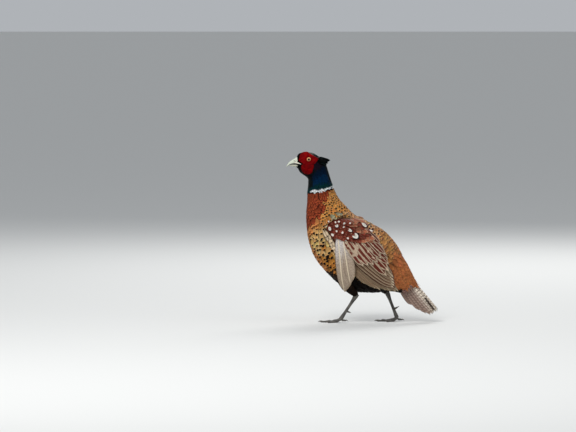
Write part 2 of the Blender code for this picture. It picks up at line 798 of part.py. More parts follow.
def make_wing(side):
    """A folded, drooping wing: tiers of vanes over the arm, cut to the body's side."""
    flank = Flank(side)
    wing = lens_on(flank, ARM)
    pieces = [lens_on(flank, HAND)]
    for tier in WING_TIERS:
        pieces += tier_vanes(flank, tier)
    boolean(wing, pieces, "UNION", "MANIFOLD")
    boolean(wing, [grown_trunk()], "DIFFERENCE")
    adopt(wing, sided("wing", side), "wing")


def thigh_shape(leg, grow=0.0):
    """The feathered thigh, from inside the body to the ankle."""
    points, radii = [], []
    for i in range(THIGH_RINGS):
        t = i / (THIGH_RINGS - 1)
        points.append(Vector(bend(leg.hip, leg.knee, leg.ankle, t)))
        radii.append(mix(THIGH_RADIUS, ANKLE_RADIUS, t**THIGH_TAPER) + grow)
    points[-1] += (points[-1] - points[-2]).normalized() * grow
    return tube("thigh", points, radii, 16, flatten=1.15)


def make_thigh(leg):
    thigh = thigh_shape(leg)
    boolean(thigh, [grown_trunk()], "DIFFERENCE")
    adopt(thigh, sided("thigh", leg.side), "thigh")


def toe_path(leg, toe, grow=0.0):
    """Centre points, radii and heading of one toe, from the ball of the foot to its tip."""
    outward = math.radians(toe.turn + leg.turn * leg.side)
    ahead = Vector((-math.cos(outward), leg.side * math.sin(outward), 0))
    root = Vector(leg.ball)
    lift = HIND_TOE_LIFT if toe.name == "hind" else 0.0
    points, radii = [], []
    for i in range(7):
        t = i / 6
        joint = 1 + TOE_JOINT_SWELL * math.cos(t * 3 * 2 * math.pi)
        radius = toe.radius * mix(1.05, 0.66, t) * joint
        level = GROUND + radius * TOE_PRESS + lift
        height = mix(root.z, level, min(1.0, t * 2.6) ** 0.8)
        points.append(Vector((root.x, root.y, height)) + ahead * toe.length * t)
        radii.append(radius + grow)
    points[-1] += ahead * grow
    return points, radii, ahead


def make_foot(leg):
    """The bare shank and toes in one piece, flat under the toes."""
    ankle, root = Vector(leg.ankle), Vector(leg.ball)
    above = ankle + (ankle - root).normalized() * 3
    steps = len(SHANK_RADII) - 1
    points = [above.lerp(root, i / steps) for i in range(steps + 1)]
    foot = tube("foot", points, SHANK_RADII, 8, flat_at=GROUND)
    toes = []
    for toe in TOES:
        toe_points, toe_radii, _ = toe_path(leg, toe)
        toes.append(tube("toe", toe_points, toe_radii, 8, flat_at=GROUND))
    toes.append(ball("pad", root - Vector((0, 0, 2.6)), [FOOT_PAD_RADIUS] * 3, 0.0, 10, 6))
    boolean(foot, toes, "UNION")
    boolean(foot, [thigh_shape(leg, GAP), grown_trunk()], "DIFFERENCE")
    adopt(foot, sided("foot", leg.side), "leg")


def make_claw(leg, toe):
    """A short blunt claw, cut to the tip of its toe."""
    toe_points, toe_radii, ahead = toe_path(leg, toe)
    start = toe_points[-1]
    thick = toe_radii[-1]
    length = CLAW_LENGTH * (HIND_CLAW_SHARE if toe.name == "hind" else 1.0)
    points, radii = [], []
    for i in range(5):
        t = i / 4
        arch = CLAW_ARCH[0] + CLAW_ARCH[1] * math.sin(t * 2.4)
        rise = thick * arch - t * t * (start.z - GROUND) * CLAW_DROP
        points.append(start + ahead * (length * t - CLAW_OVERLAP) + Vector((0, 0, rise)))
        radii.append(thick * mix(*CLAW_TAPER, t**1.3))
    claw = tube("claw", points, radii, 6, flat_at=GROUND)
    grown_points, grown_radii, _ = toe_path(leg, toe, GAP)
    boolean(claw, [tube("toe_cut", grown_points, grown_radii, 8)], "DIFFERENCE")
    adopt(claw, sided("claw", leg.side) + "_" + toe.name, "claw")


def make_spur(leg):
    """The horny spur at the back of the shank."""
    ankle, root = Vector(leg.ankle), Vector(leg.ball)
    shank = (root - ankle).normalized()
    back = Vector((1, -leg.side * SPUR_INWARD, 0))
    out = (back - shank * back.dot(shank)).normalized()
    base = ankle.lerp(root, SPUR_PLACE)
    points = []
    for share in SPUR_SHARES:
        reach = SHANK_RADII[5] + GAP + SPUR_LENGTH * share
        points.append(base + out * reach + Vector((0, 0, SPUR_RISE * share**2)))
    adopt(tube("spur", points, SPUR_RADII, 8), sided("spur", leg.side), "claw")


def settle():
    """Moves everything so that the box's bottom centre is the origin."""
    corners = [v.co for made in PARTS.objects for v in made.data.vertices]
    low = Vector([min(c[i] for c in corners) for i in range(3)])
    high = Vector([max(c[i] for c in corners) for i in range(3)])
    shift = -Vector(((low.x + high.x) / 2, (low.y + high.y) / 2, low.z))
    for made in PARTS.objects:
        made.data.transform(Matrix.Translation(shift))
        made.data.shade_smooth()
        made.data.set_sharp_from_angle(angle=math.radians(SMOOTH_ANGLE))
    print("moved by", [round(v / MM, 2) for v in shift], "mm")


make_torso()
make_neck()
make_head()
make_rump()
make_tail()
make_upper_bill()
make_lower_bill()
for side in (LEFT, RIGHT):
    make_face(side)
    make_eye(side)
    make_tuft(side)
    make_wing(side)
for leg in LEGS:
    make_thigh(leg)
    make_foot(leg)
    make_spur(leg)
    for toe in TOES:
        make_claw(leg, toe)
settle()
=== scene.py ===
# %% [markdown]
# # A cock pheasant, dressed in feathers
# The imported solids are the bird's fixed frame: they say where the bill, the eyes, the
# wings, the tail and the feet are. This lesson lays a living surface over them: one
# skin, a coat of separate feathers, a bare red face, glassy eyes and scaly legs. Every
# piece is made where it belongs, so nothing is moved to fit.

# %% Load the frame
import math
from collections import namedtuple

import bmesh
import bpy
import numpy as np
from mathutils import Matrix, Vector, noise
from mathutils.kdtree import KDTree


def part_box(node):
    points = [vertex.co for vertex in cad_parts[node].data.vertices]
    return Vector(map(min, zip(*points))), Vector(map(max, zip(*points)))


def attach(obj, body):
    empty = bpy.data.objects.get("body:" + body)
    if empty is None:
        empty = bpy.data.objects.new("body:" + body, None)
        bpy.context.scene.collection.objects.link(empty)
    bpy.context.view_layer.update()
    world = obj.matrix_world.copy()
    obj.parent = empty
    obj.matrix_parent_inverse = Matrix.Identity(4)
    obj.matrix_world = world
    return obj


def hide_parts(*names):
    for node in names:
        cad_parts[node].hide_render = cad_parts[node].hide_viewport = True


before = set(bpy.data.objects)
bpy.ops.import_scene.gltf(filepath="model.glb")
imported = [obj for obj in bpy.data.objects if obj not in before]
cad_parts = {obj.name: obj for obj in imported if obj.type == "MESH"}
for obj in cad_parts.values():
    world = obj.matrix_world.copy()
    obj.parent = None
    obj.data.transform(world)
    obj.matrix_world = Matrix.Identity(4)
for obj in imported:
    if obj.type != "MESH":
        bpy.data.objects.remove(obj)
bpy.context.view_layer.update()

MM = 0.001
LEFT = -1
RIGHT = 1
FULL_TURN = 6.283
rng = np.random.default_rng(7)

# %% [markdown]
# ## Where the bird's own drawing lies in the frame
# The bird was drawn in millimetres from a point of its own. The left eye's solid is a
# ball whose centre was drawn at a known place, so its box gives the shift between the
# two. Measuring it is safer than typing it, because it follows the solids.

# %% From the drawing to the frame
EYE = np.array((-115.0, 11.2, 362.0))
low, high = (np.array(corner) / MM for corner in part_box("eye_left"))
SHIFT = (low + high) / 2 - EYE * (1, LEFT, 1)
print("drawing shifted by", SHIFT.round(2), "mm")


def sided(name, side):
    return f"{name}_left" if side == LEFT else f"{name}_right"


def mix(a, b, t):
    return a + (b - a) * t


def smooth(value, low, high):
    """0 below low, 1 above high and a soft curve between them."""
    t = np.clip((value - low) / (high - low), 0, 1)
    return t * t * (3 - 2 * t)


def turns_round(count):
    """Angles evenly spaced round a circle."""
    return 2 * math.pi * np.arange(count) / count


# %% [markdown]
# ## Floor, light and camera
# A bird seen across a field is far away, so its near and far side look the same size.
# A long lens from ten metres gives that calm, flat perspective. The light is soft and
# comes from above, as under a bright sky, with a broad key, a weaker fill and a rim.

# %% Stage
def add_floor():
    shape = bmesh.new()
    bmesh.ops.create_grid(shape, x_segments=1, y_segments=1, size=FLOOR_HALF)
    mesh = bpy.data.meshes.new("floor")
    shape.to_mesh(mesh)
    shape.free()
    made = bpy.data.objects.new("floor", mesh)
    bpy.context.scene.collection.objects.link(made)
    material = bpy.data.materials.new("pale_floor")
    material.use_nodes = True
    shader = material.node_tree.nodes["Principled BSDF"]
    shader.inputs["Base Color"].default_value = (0.72, 0.72, 0.70, 1)
    shader.inputs["Roughness"].default_value = 0.9
    mesh.materials.append(material)


def aim(thing, place, target):
    thing.location = place
    thing.rotation_euler = (Vector(target) - Vector(place)).to_track_quat("-Z", "Y").to_euler()


def add_light(name, place, power, size):
    data = bpy.data.lights.new(name, "AREA")
    data.energy = power
    data.size = size
    made = bpy.data.objects.new(name, data)
    bpy.context.scene.collection.objects.link(made)
    aim(made, place, (0, 0, 0.2))


FLOOR_HALF = 60.0
add_floor()
add_light("key", (-1.1, -2.2, 2.6), 72, 1.6)
add_light("fill", (2.4, -1.6, 1.2), 12, 2.2)
add_light("rim", (0.6, 2.4, 2.2), 45, 1.6)
world = bpy.data.worlds.new("sky")
world.use_nodes = True
world.node_tree.nodes["Background"].inputs["Color"].default_value = (0.86, 0.9, 0.95, 1)
world.node_tree.nodes["Background"].inputs["Strength"].default_value = 0.5
bpy.context.scene.world = world
bpy.context.scene.view_settings.view_transform = "Standard"

# %% Camera
CAMERA_DISTANCE = 10.0
CAMERA_RISE = math.radians(3.0)
FRAME_WIDTH = 1.296
SENSOR = 36.0
LOOKED_AT = Vector((-0.1677, 0, 0.239))
camera_data = bpy.data.cameras.new("camera")
camera_data.sensor_width = SENSOR
camera_data.lens = SENSOR * CAMERA_DISTANCE / FRAME_WIDTH
camera_data.clip_end = 300
camera = bpy.data.objects.new("camera", camera_data)
bpy.context.scene.collection.objects.link(camera)
stand = LOOKED_AT + CAMERA_DISTANCE * Vector((0, -math.cos(CAMERA_RISE), math.sin(CAMERA_RISE)))
aim(camera, stand, LOOKED_AT)
bpy.context.scene.camera = camera
print("lens", round(camera_data.lens), "mm from", CAMERA_DISTANCE, "m")

# %% [markdown]
# ## Node trees written as sums
# Materials and Geometry Nodes are both graphs. Placing each node by hand hides what a
# graph computes, so a small class wraps a socket: adding or multiplying two of them
# adds the Math node. Colours and vectors have their own nodes, because a Math node
# would turn a colour grey.

# %% Sockets in expressions
class Value:
    """One output socket, which can be used in plain Python expressions."""

    def __init__(self, nodes, socket):
        self.nodes = nodes
        self.socket = socket

    def math(self, operation, *others):
        return self.nodes.add("ShaderNodeMath", {"operation": operation},
                              dict(enumerate((self, *others))))

    def __add__(self, other):
        return self.math("ADD", other)

    def __sub__(self, other):
        return self.math("SUBTRACT", other)

    def __mul__(self, other):
        return self.math("MULTIPLY", other)

    def __truediv__(self, other):
        return self.math("DIVIDE", other)

    def __pow__(self, other):
        return self.math("POWER", other)

    def __rsub__(self, other):
        return self.nodes.add("ShaderNodeMath", {"operation": "SUBTRACT"}, {0: other, 1: self})

    __radd__ = __add__
    __rmul__ = __mul__


class Nodes:
    """A node tree that is filled by calls."""

    def __init__(self, tree):
        self.tree = tree

    def add(self, kind, settings=None, sockets=None, output=0):
        """A node of a type, with its settings and then the values or links it takes."""
        node = self.tree.nodes.new(kind)
        for name, value in (settings or {}).items():
            setattr(node, name, value)
        for key, value in (sockets or {}).items():
            if isinstance(value, Value):
                self.tree.links.new(value.socket, node.inputs[key])
            else:
                node.inputs[key].default_value = value
        return Value(self, node.outputs[output])

    def vector(self, operation, *parts):
        return self.add("ShaderNodeVectorMath", {"operation": operation}, dict(enumerate(parts)))

    def scaled(self, vector, factor):
        return self.add("ShaderNodeVectorMath", {"operation": "SCALE"}, {0: vector, "Scale": factor})

    def split(self, vector):
        first = self.add("ShaderNodeSeparateXYZ", {}, {0: vector})
        return [Value(self, socket) for socket in first.socket.node.outputs]


class Finish(Nodes):
    """A material: constants are set on its shader, and what varies is linked to it."""

    def __init__(self, name, **constants):
        self.material = bpy.data.materials.new(name)
        self.material.use_nodes = True
        super().__init__(self.material.node_tree)
        self.shader = self.tree.nodes["Principled BSDF"]
        for socket, value in constants.items():
            self.shader.inputs[socket.replace("_", " ")].default_value = value

    def colour(self, attribute):
        return self.add("ShaderNodeAttribute", {"attribute_name": attribute}, {}, "Color")

    def numbers(self, attribute):
        return self.split(self.add("ShaderNodeAttribute", {"attribute_name": attribute}, {}, "Vector"))

    def object_place(self):
        return self.add("ShaderNodeTexCoord", {}, {}, "Object")

    def step(self, value, low, high):
        """0 where value is at low and 1 where it is at high, with a soft curve between."""
        return self.add("ShaderNodeMapRange", {"interpolation_type": "SMOOTHSTEP"},
                        {0: value, 1: low, 2: high})

    def blend(self, factor, under, over, mode="MIX"):
        return self.add("ShaderNodeMix", {"data_type": "RGBA", "blend_type": mode},
                        {0: factor, 6: under, 7: over}, 2)

    def noise(self, place, scale, detail=2.0):
        return self.add("ShaderNodeTexNoise", {}, {"Vector": place, "Scale": scale, "Detail": detail})

    def cells(self, place, scale):
        return self.add("ShaderNodeTexVoronoi", {}, {"Vector": place, "Scale": scale})

    def bump(self, height, strength, distance):
        bumped = self.add("ShaderNodeBump", {}, {"Height": height, "Strength": strength,
                                                 "Distance": distance})
        self.link(bumped, "Normal")

    def link(self, value, socket):
        self.tree.links.new(value.socket, self.shader.inputs[socket])


def rgb(red, green, blue):
    return (red, green, blue, 1.0)


# %% [markdown]
# ## The bird's form as slices
# The head, neck and body are one run of slices, each with its highest and lowest point
# in the bird's middle plane and half its width. A smooth curve through the slices gives
# a point for any place along the bird and any turn round it, so feathers can later be
# rooted by those two numbers on any side of the bird.

# %% Slices from the bill's root to the tail's root
Section = namedtuple("Section", "dorsal ventral half_width")
BIRD = [
    Section((-141.8, 368.8), (-140.4, 345.2), 6.5),
    Section((-136.9, 375.2), (-138.1, 338.6), 9.5),
    Section((-129.4, 377.3), (-134.3, 332.1), 12.3),
    Section((-120.4, 378.4), (-128.2, 327.2), 14.2),
    Section((-109.1, 377.1), (-122.6, 323.6), 15.6),
    Section((-97.9, 372.2), (-119.2, 320.8), 16.8),
    Section((-86.6, 363.2), (-117.4, 318.8), 18.0),
    Section((-75.8, 348.8), (-117.0, 317.2), 19.0),
    Section((-70.2, 333.0), (-116.6, 309.4), 20.5),
    Section((-65.7, 317.2), (-117.0, 299.2), 22.0),
    Section((-60.8, 301.5), (-117.7, 289.1), 24.0),
    Section((-55.6, 289.1), (-118.4, 277.9), 26.5),
    Section((-45.0, 271.1), (-119.9, 261.0), 32.0),
    Section((-30.4, 255.4), (-121.5, 238.5), 40.0),
    Section((-12.4, 237.4), (-120.8, 211.5), 48.5),
    Section((7.9, 226.6), (-114.8, 173.2), 56.0),
    Section((32.6, 214.4), (-100.1, 137.2), 60.5),
    Section((58.5, 198.0), (-77.6, 109.1), 60.5),
    Section((81.0, 173.2), (-52.9, 85.5), 56.0),
    Section((97.4, 145.1), (-24.8, 67.5), 48.0),
    Section((111.4, 118.1), (20.3, 62.5), 37.5),
    Section((122.6, 94.5), (65.3, 65.7), 26.5),
    Section((131.6, 77.6), (91.0, 61.9), 17.0),
]
DROOP = 0.1
LAST = len(BIRD) - 1


def table_of(sections):
    return np.array([(*s.dorsal, *s.ventral, s.half_width) for s in sections])


def spline(table, s):
    """Rows of a smooth curve through the rows of a table; s counts in rows."""
    padded = np.vstack([2 * table[0] - table[1], table, 2 * table[-1] - table[-2]])
    i = np.clip(np.floor(s).astype(int), 0, len(table) - 2)
    f = (s - i)[:, None]
    p0, p1, p2, p3 = (padded[i + k] for k in range(4))
    return 0.5 * (2 * p1 + (p2 - p0) * f + (2 * p0 - 5 * p1 + 4 * p2 - p3) * f**2
                  + (3 * p1 - p0 - 3 * p2 + p3) * f**3)


def form(table, s, turn, grow=0.0):
    """Points of a sliced form, at place s along it and turn round it from the top."""
    s, turn = np.broadcast_arrays(np.asarray(s, float), np.asarray(turn, float))
    dx, dz, vx, vz, width = spline(table, s).T
    half = np.stack([dx - vx, dz - vz], 1) / 2
    depth = np.linalg.norm(half, axis=1)
    up = half / depth[:, None]
    rise = (depth + grow) * (np.cos(turn) - DROOP * np.sin(turn) ** 2)
    return np.stack([(dx + vx) / 2 + up[:, 0] * rise, (width + grow) * np.sin(turn),
                     (dz + vz) / 2 + up[:, 1] * rise], 1)


BODY_TABLE = table_of(BIRD)


def body(s, turn, grow=0.0):
    return form(BODY_TABLE, s, turn, grow)


def outward(surface, s, turn, grow=0.0):
    """The way out of a form at a place, from its slopes along and round it."""
    step = 0.02
    along = surface(s + step, turn, grow) - surface(s - step, turn, grow)
    around = surface(s, turn + step, grow) - surface(s, turn - step, grow)
    out = np.cross(along, around)
    return out / np.linalg.norm(out, axis=1)[:, None]


COAT_AT = (0, 6, 8, 10, 12, 15, 20, 22)
COAT_DEPTH = (0.9, 1.1, 1.9, 2.2, 3.2, 4.4, 4.4, 3.0)


def coat_depth(s):
    return np.interp(s, COAT_AT, COAT_DEPTH)


print("slices:", len(BIRD))

# %% [markdown]
# ## One skin
# Flesh has no seams, so head, neck, trunk and thighs are fused into one skin. It lies
# inside the solids by the depth of the coat. The slices and the thighs are lofted
# first, then a fine voxel remesh melts them together and a little smoothing rounds the
# creases, as skin does.

# %% Helpers for meshes
def grid_faces(rows, columns, closed=True):
    """Faces between rows of points; closed joins the last column to the first."""
    faces = []
    for r in range(rows - 1):
        for c in range(columns if closed else columns - 1):
            n = (c + 1) % columns
            faces.append((r * columns + c, r * columns + n,
                          (r + 1) * columns + n, (r + 1) * columns + c))
    return faces


def link(name, mesh):
    made = bpy.data.objects.new(name, mesh)
    bpy.context.scene.collection.objects.link(made)
    return made


def set_attribute(mesh, name, kind, values):
    """Stores one colour or vector for each point of a mesh."""
    layer = mesh.attributes.new(name, kind, "POINT")
    field = "color" if kind == "FLOAT_COLOR" else "vector"
    layer.data.foreach_set(field, np.ascontiguousarray(values, dtype=np.float32).ravel())


def mesh_of(name, points, faces, recalculate=True):
    """An object from points in the drawing's millimetres, with its faces outwards."""
    mesh = bpy.data.meshes.new(name)
    mesh.from_pydata(((np.asarray(points) + SHIFT) * MM).tolist(), [], faces)
    if recalculate:
        shape = bmesh.new()
        shape.from_mesh(mesh)
        bmesh.ops.recalc_face_normals(shape, faces=shape.faces)
        shape.to_mesh(mesh)
        shape.free()
    mesh.shade_smooth()
    return link(name, mesh)


def fuse(made, voxel):
    """Melts forms that overlap into one surface of fine squares."""
    melt = made.modifiers.new("fuse", "REMESH")
    melt.mode = "VOXEL"
    melt.voxel_size = voxel * MM


def bake_modifiers(made):
    """Replaces an object's mesh by what its modifiers make of it."""
    bpy.context.view_layer.update()
    graph = bpy.context.evaluated_depsgraph_get()
    mesh = bpy.data.meshes.new_from_object(made.evaluated_get(graph))
    made.modifiers.clear()
    made.data = mesh


def loft(points, rows, columns):
    """Points and faces of a closed tube with both ends filled."""
    faces = grid_faces(rows, columns)
    faces.append(tuple(range(columns))[::-1])
    faces.append(tuple(range((rows - 1) * columns, rows * columns)))
    return points, faces


def swept(path, radii, sides, flatten=1.0, relief=None, floor=None):
    """A round or oval tube along a path. relief(share, turn) gives extra radius."""
    path = np.asarray(path, float)
    rings = []
    turns = 2 * math.pi * (np.arange(sides) + 0.5) / sides
    for i, point in enumerate(path):
        ahead = path[min(i + 1, len(path) - 1)] - path[max(i - 1, 0)]
        ahead = ahead / np.linalg.norm(ahead)
        side = np.array((0, 1, 0)) - ahead * ahead[1]
        side = side / np.linalg.norm(side)
        up = np.cross(side, ahead)
        extra = relief(i / (len(path) - 1), turns) if relief else 0.0
        radius = radii[i] + extra
        rings.append(point + np.outer(radius * np.cos(turns), side)
                     + np.outer(radius * flatten * np.sin(turns), up))
    points = np.concatenate(rings)
    if floor is not None:
        points[:, 2] = np.maximum(points[:, 2], floor)
    return loft(points, len(path), sides)


def joined(pieces):
    """Several (points, faces) as one."""
    points, faces = [], []
    start = 0
    for piece_points, piece_faces in pieces:
        points.append(piece_points)
        faces += [tuple(k + start for k in face) for face in piece_faces]
        start += len(piece_points)
    return np.concatenate(points), faces


def dress(piece, slot, *nodes):
    """Every piece rides on the bird's one body, and the solids it stands in for, if any, are hidden; slot
    is not used.
    """
    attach(piece, "root")
    if nodes:
        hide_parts(*nodes)


def finish_with(piece, finish, slot, *nodes):
    """Gives a piece its material and then dresses the bird with it."""
    piece.data.materials.append(finish.material)
    dress(piece, slot, *nodes)


def bend(start, middle, end, t):
    start, middle, end = (np.asarray(p, float) for p in (start, middle, end))
    return mix(mix(start, middle, t), mix(middle, end, t), t)


# %% Legs, as the solids have them
Leg = namedtuple("Leg", "side hip knee ankle ball turn")
LEGS = [
    Leg(LEFT, hip=(-32.0, -32.0, 122.0), knee=(-46.0, -34.0, 92.0),
        ankle=(-8.0, -22.0, 57.0), ball=(-43.0, -15.0, 3.0), turn=4.0),
    Leg(RIGHT, hip=(22.0, 30.0, 120.0), knee=(30.0, 34.0, 88.0),
        ankle=(62.0, 25.0, 60.0), ball=(84.0, 16.0, 3.5), turn=-8.0),
]
THIGH_RADII = (24.0, 5.8)
THIGH_TAPER = 1.1
THIGH_FLATTEN = 1.15
THIGH_COAT = 1.6


def thigh_path(leg, t):
    return bend(leg.hip, leg.knee, leg.ankle, t)


def thigh_radius(t):
    return mix(*THIGH_RADII, t**THIGH_TAPER)


def thigh(leg, t, turn, grow=0.0):
    """Points of a thigh at place t down it and turn round it."""
    points = []
    for place, angle in zip(np.atleast_1d(t), np.atleast_1d(turn)):
        ahead = thigh_path(leg, place + 0.01) - thigh_path(leg, place - 0.01)
        ahead = ahead / np.linalg.norm(ahead)
        side = np.array((0, 1, 0)) - ahead * ahead[1]
        side = side / np.linalg.norm(side)
        up = np.cross(side, ahead)
        radius = thigh_radius(max(place, 0.0)) + grow
        points.append(thigh_path(leg, place) + side * radius * math.cos(angle)
                      + up * radius * THIGH_FLATTEN * math.sin(angle))
    return np.array(points)


# %% Skin
SKIN_ROWS = 150
SKIN_SIDES = 96
SKIN_VOXEL = 1.5
SKIN_START = -0.2


def skin_pieces():
    s = np.repeat(np.linspace(SKIN_START, LAST, SKIN_ROWS), SKIN_SIDES)
    turn = np.tile(turns_round(SKIN_SIDES), SKIN_ROWS)
    pieces = [loft(body(s, turn, -coat_depth(s)), SKIN_ROWS, SKIN_SIDES)]
    for leg in LEGS:
        t = np.linspace(0, 1, 40)
        path = [thigh_path(leg, v) for v in t]
        radii = [thigh_radius(v) - THIGH_COAT for v in t]
        pieces.append(swept(path, radii, 32, THIGH_FLATTEN))
    return pieces


def make_skin():
    made = mesh_of("skin", *joined(skin_pieces()))
    fuse(made, SKIN_VOXEL)
    ease = made.modifiers.new("ease", "SMOOTH")
    ease.factor = 0.5
    ease.iterations = 6
    bake_modifiers(made)
    made.data.shade_smooth()
    normals = np.zeros(len(made.data.vertices) * 3)
    made.data.vertices.foreach_get("normal", normals)
    set_attribute(made.data, "skin_out", "FLOAT_VECTOR", normals)
    return made


skin = make_skin()
print("skin faces:", len(skin.data.polygons))

# %% [markdown]
# ## Kinds of plumage
# A pheasant's feathers come in a dozen kinds, each with a ground colour, a rim and a
# mark near its tip. Every feather takes one kind from its place on the bird, with
# ragged borders between kinds, and the skin under it takes the same. The borders are
# given along the slices and as lines in the side view.

# %% Kinds and their colours
Kind = namedtuple("Kind", "ground rim mark rim_from mark_size mark_width")
KINDS = {
    "hood": Kind((0.004, 0.01, 0.011), (0.002, 0.004, 0.005), (0, 0, 0), 0.7, 0.0, 0.5),
    # crown_sheen: the crown's greenish grey, lightened into a painted sheen
    "crown_sheen": Kind((0.2, 0.23, 0.2), (0.05, 0.08, 0.065), (0, 0, 0), 0.7, 0.0, 0.5),
    "silver": Kind((0.4, 0.36, 0.24), (0.5, 0.32, 0.15), (0, 0, 0), 0.8, 0.0, 0.5),
    "black": Kind((0.002, 0.002, 0.002), (0.001, 0.001, 0.001), (0, 0, 0), 0.7, 0.0, 0.5),
    "violet": Kind((0.016, 0.009, 0.02), (0.005, 0.004, 0.009), (0, 0, 0), 0.72, 0.0, 0.5),
    "blue": Kind((0.001, 0.034, 0.1), (0.001, 0.006, 0.024), (0, 0, 0), 0.72, 0.0, 0.5),
    "navy": Kind((0.001, 0.014, 0.045), (0.001, 0.003, 0.012), (0, 0, 0), 0.72, 0.0, 0.5),
    "teal": Kind((0.002, 0.045, 0.05), (0.001, 0.006, 0.01), (0, 0, 0), 0.7, 0.0, 0.5),
    "ring": Kind((0.93, 0.95, 0.95), (0.85, 0.88, 0.93), (0, 0, 0), 0.85, 0.0, 0.5),
    "line": Kind((0.006, 0.004, 0.004), (0.004, 0.003, 0.003), (0, 0, 0), 0.7, 0.0, 0.5),
    "copper": Kind((0.37, 0.066, 0.022), (0.035, 0.005, 0.006), (0, 0, 0), 0.7, 0.0, 0.7),
    "rust": Kind((0.8, 0.32, 0.09), (0.2, 0.05, 0.016), (0.02, 0.005, 0.005), 0.8, 0.75, 0.6),
    "mantle": Kind((0.8, 0.32, 0.07), (0.92, 0.58, 0.25), (0.006, 0.003, 0.003), 0.74, 1.3, 0.44),
    "gold": Kind((0.95, 0.52, 0.18), (0.95, 0.7, 0.36), (0.004, 0.002, 0.002), 0.76, 1.25, 0.46),
    "amber": Kind((0.66, 0.27, 0.05), (0.62, 0.27, 0.06), (0.004, 0.002, 0.002), 0.8, 1.25, 0.48),
    "belly": Kind((0.03, 0.014, 0.007), (0.01, 0.005, 0.003), (0.004, 0.002, 0.002), 0.75, 0.8, 0.6),
    "vent": Kind((0.006, 0.004, 0.003), (0.003, 0.002, 0.002), (0, 0, 0), 0.75, 0.0, 0.5),
    "back": Kind((0.7, 0.34, 0.14), (0.94, 0.62, 0.32), (0.035, 0.012, 0.01), 0.72, 1.0, 0.55),
    "ochre": Kind((0.58, 0.25, 0.08), (0.7, 0.36, 0.14), (0.16, 0.07, 0.035), 0.74, 0.85, 0.7),
    "rump": Kind((0.52, 0.17, 0.055), (0.6, 0.24, 0.1), (0.26, 0.08, 0.035), 0.78, 0.4, 0.6),
    "lilac": Kind((0.3, 0.18, 0.15), (0.5, 0.36, 0.29), (0.1, 0.04, 0.035), 0.74, 0.8, 0.4),
}
KIND_NAMES = list(KINDS)


def line_side(x, z, start, end):
    """Millimetres to the rear of a line seen from the side, drawn from top to bottom."""
    start, end = np.array(start), np.array(end)
    way = (end - start) / np.linalg.norm(end - start)
    return -((x - start[0]) * way[1] - (z - start[1]) * way[0])


# borders between kinds, as lines seen from the side
THROAT_LINE = ((-68, 290), (-84, 232))
COPPER_LINE = ((-60, 256), (-122, 200))
RUST_LINE = ((-60, 236), (-122, 180))
OCHRE_LINE = ((40, 240), (50, 150))
RUMP_LINE = ((96, 190), (60, 100))
# the white ring sags in the middle of each side of the neck
RING_TURNS = (0.0, 0.7, 1.45, 2.45)
RING_PLACES = (10.18, 10.23, 10.43, 10.11)
RING_HALF = 0.25


def kinds_at(s, turn, points, ragged=0.0):
    """The kind of plumage at each place, as a number. ragged shakes the borders."""
    n = len(s)
    s = s + ragged * rng.normal(0, 1, n) * np.interp(s, (9.2, 9.8, 13), (0.2, 0.035, 0.14))
    shake = ragged * rng.normal(0, 2.0, n)
    x, z = points[:, 0] + shake, points[:, 2]
    turn = np.abs((turn + math.pi) % (2 * math.pi) - math.pi) + ragged * rng.normal(0, 0.07, n)
    kind = np.full(n, KIND_NAMES.index("gold"))

    def paint(name, where):
        kind[where] = KIND_NAMES.index(name)

    front = line_side(x, z, *THROAT_LINE) < 0
    high = line_side(x, z, *COPPER_LINE) < 0
    low = line_side(x, z, *RUST_LINE) < 0
    soft = ragged * rng.normal(0, 9.0, n)
    paint("amber", (z + soft < 150) & (turn > 1.0))
    paint("rust", (turn > 2.75) & (s > 12))
    paint("mantle", (s < 14.2) & (turn < 1.9))
    paint("back", (s > 14.0) & (turn < 1.25))
    paint("ochre", line_side(x, z, *OCHRE_LINE) + soft > 0)
    paint("rump", line_side(x, z, *RUMP_LINE) + soft > 0)
    paint("rust", front & low & (turn > 1.75))
    paint("copper", front & high)
    paint("belly", (s > 17.4 - 0.6 * (turn - 2.5)) & (turn > 2.25))
    paint("vent", (s > 18.3) & (turn > 2.0))
    past = s - np.interp(turn, RING_TURNS, RING_PLACES)
    paint("line", past < RING_HALF + 0.17)
    paint("teal", past < RING_HALF)
    paint("ring", (past < RING_HALF) & (turn < 2.33) & ~((turn > 0.38) & (turn < 0.5)))
    paint("teal", past < -RING_HALF + 0.04 * np.sin(9 * turn))
    paint("blue", (s < 9.4 + 0.25 * np.sin(3 * turn)) & (turn < 2.2))
    paint("navy", (s < 8.1) & (turn < 2.2))
    paint("hood", (s < 9.4) & (turn > 2.1))
    paint("hood", (s < 9.6) & (turn < 0.5))
    paint("hood", s < 6.9)
    paint("violet", (s > 5.3) & (s < 6.8) & (turn > 0.6) & (turn < 1.5))
    # the crown's own greenish grey, lightened into a painted sheen highlight
    paint("crown_sheen", (s > 3.2) & (s < 4.2) & (turn < 0.75))
    paint("black", (s < 7.6) & (turn > 2.1))
    paint("black", s < 2.2)
    return kind


def look_arrays(kind, spread):
    """Colours and mark sizes of feathers of given kinds, each a little different."""
    rows = [KINDS[KIND_NAMES[k]] for k in kind]
    shade = 1 + spread * rng.normal(0, 1, (len(kind), 1))
    tint = 1 + spread * 0.35 * rng.normal(0, 1, (len(kind), 3))

    def colour(name):
        values = np.array([getattr(row, name) for row in rows]) * np.clip(shade * tint, 0.5, 1.6)
        return np.hstack([np.minimum(values, 0.95), np.ones((len(kind), 1))])

    sizes = np.array([(row.rim_from, row.mark_size, row.mark_width) for row in rows])
    sizes[:, 1] *= 1 + 0.18 * rng.normal(0, 1, len(kind))
    return {"ground": colour("ground"), "rim": colour("rim"), "mark": colour("mark"),
            "pattern": sizes}


print("kinds of plumage:", len(KINDS))

# %% [markdown]
# ## A vane
# Each feather is a closed blade: a domed upper side, a flat underside and a shared rim.
# Its points are kept as shares, how far along and how far across, so the same small
# mesh serves every size. A UV map carries those shares to the material, where rims,
# marks and barbs are drawn.

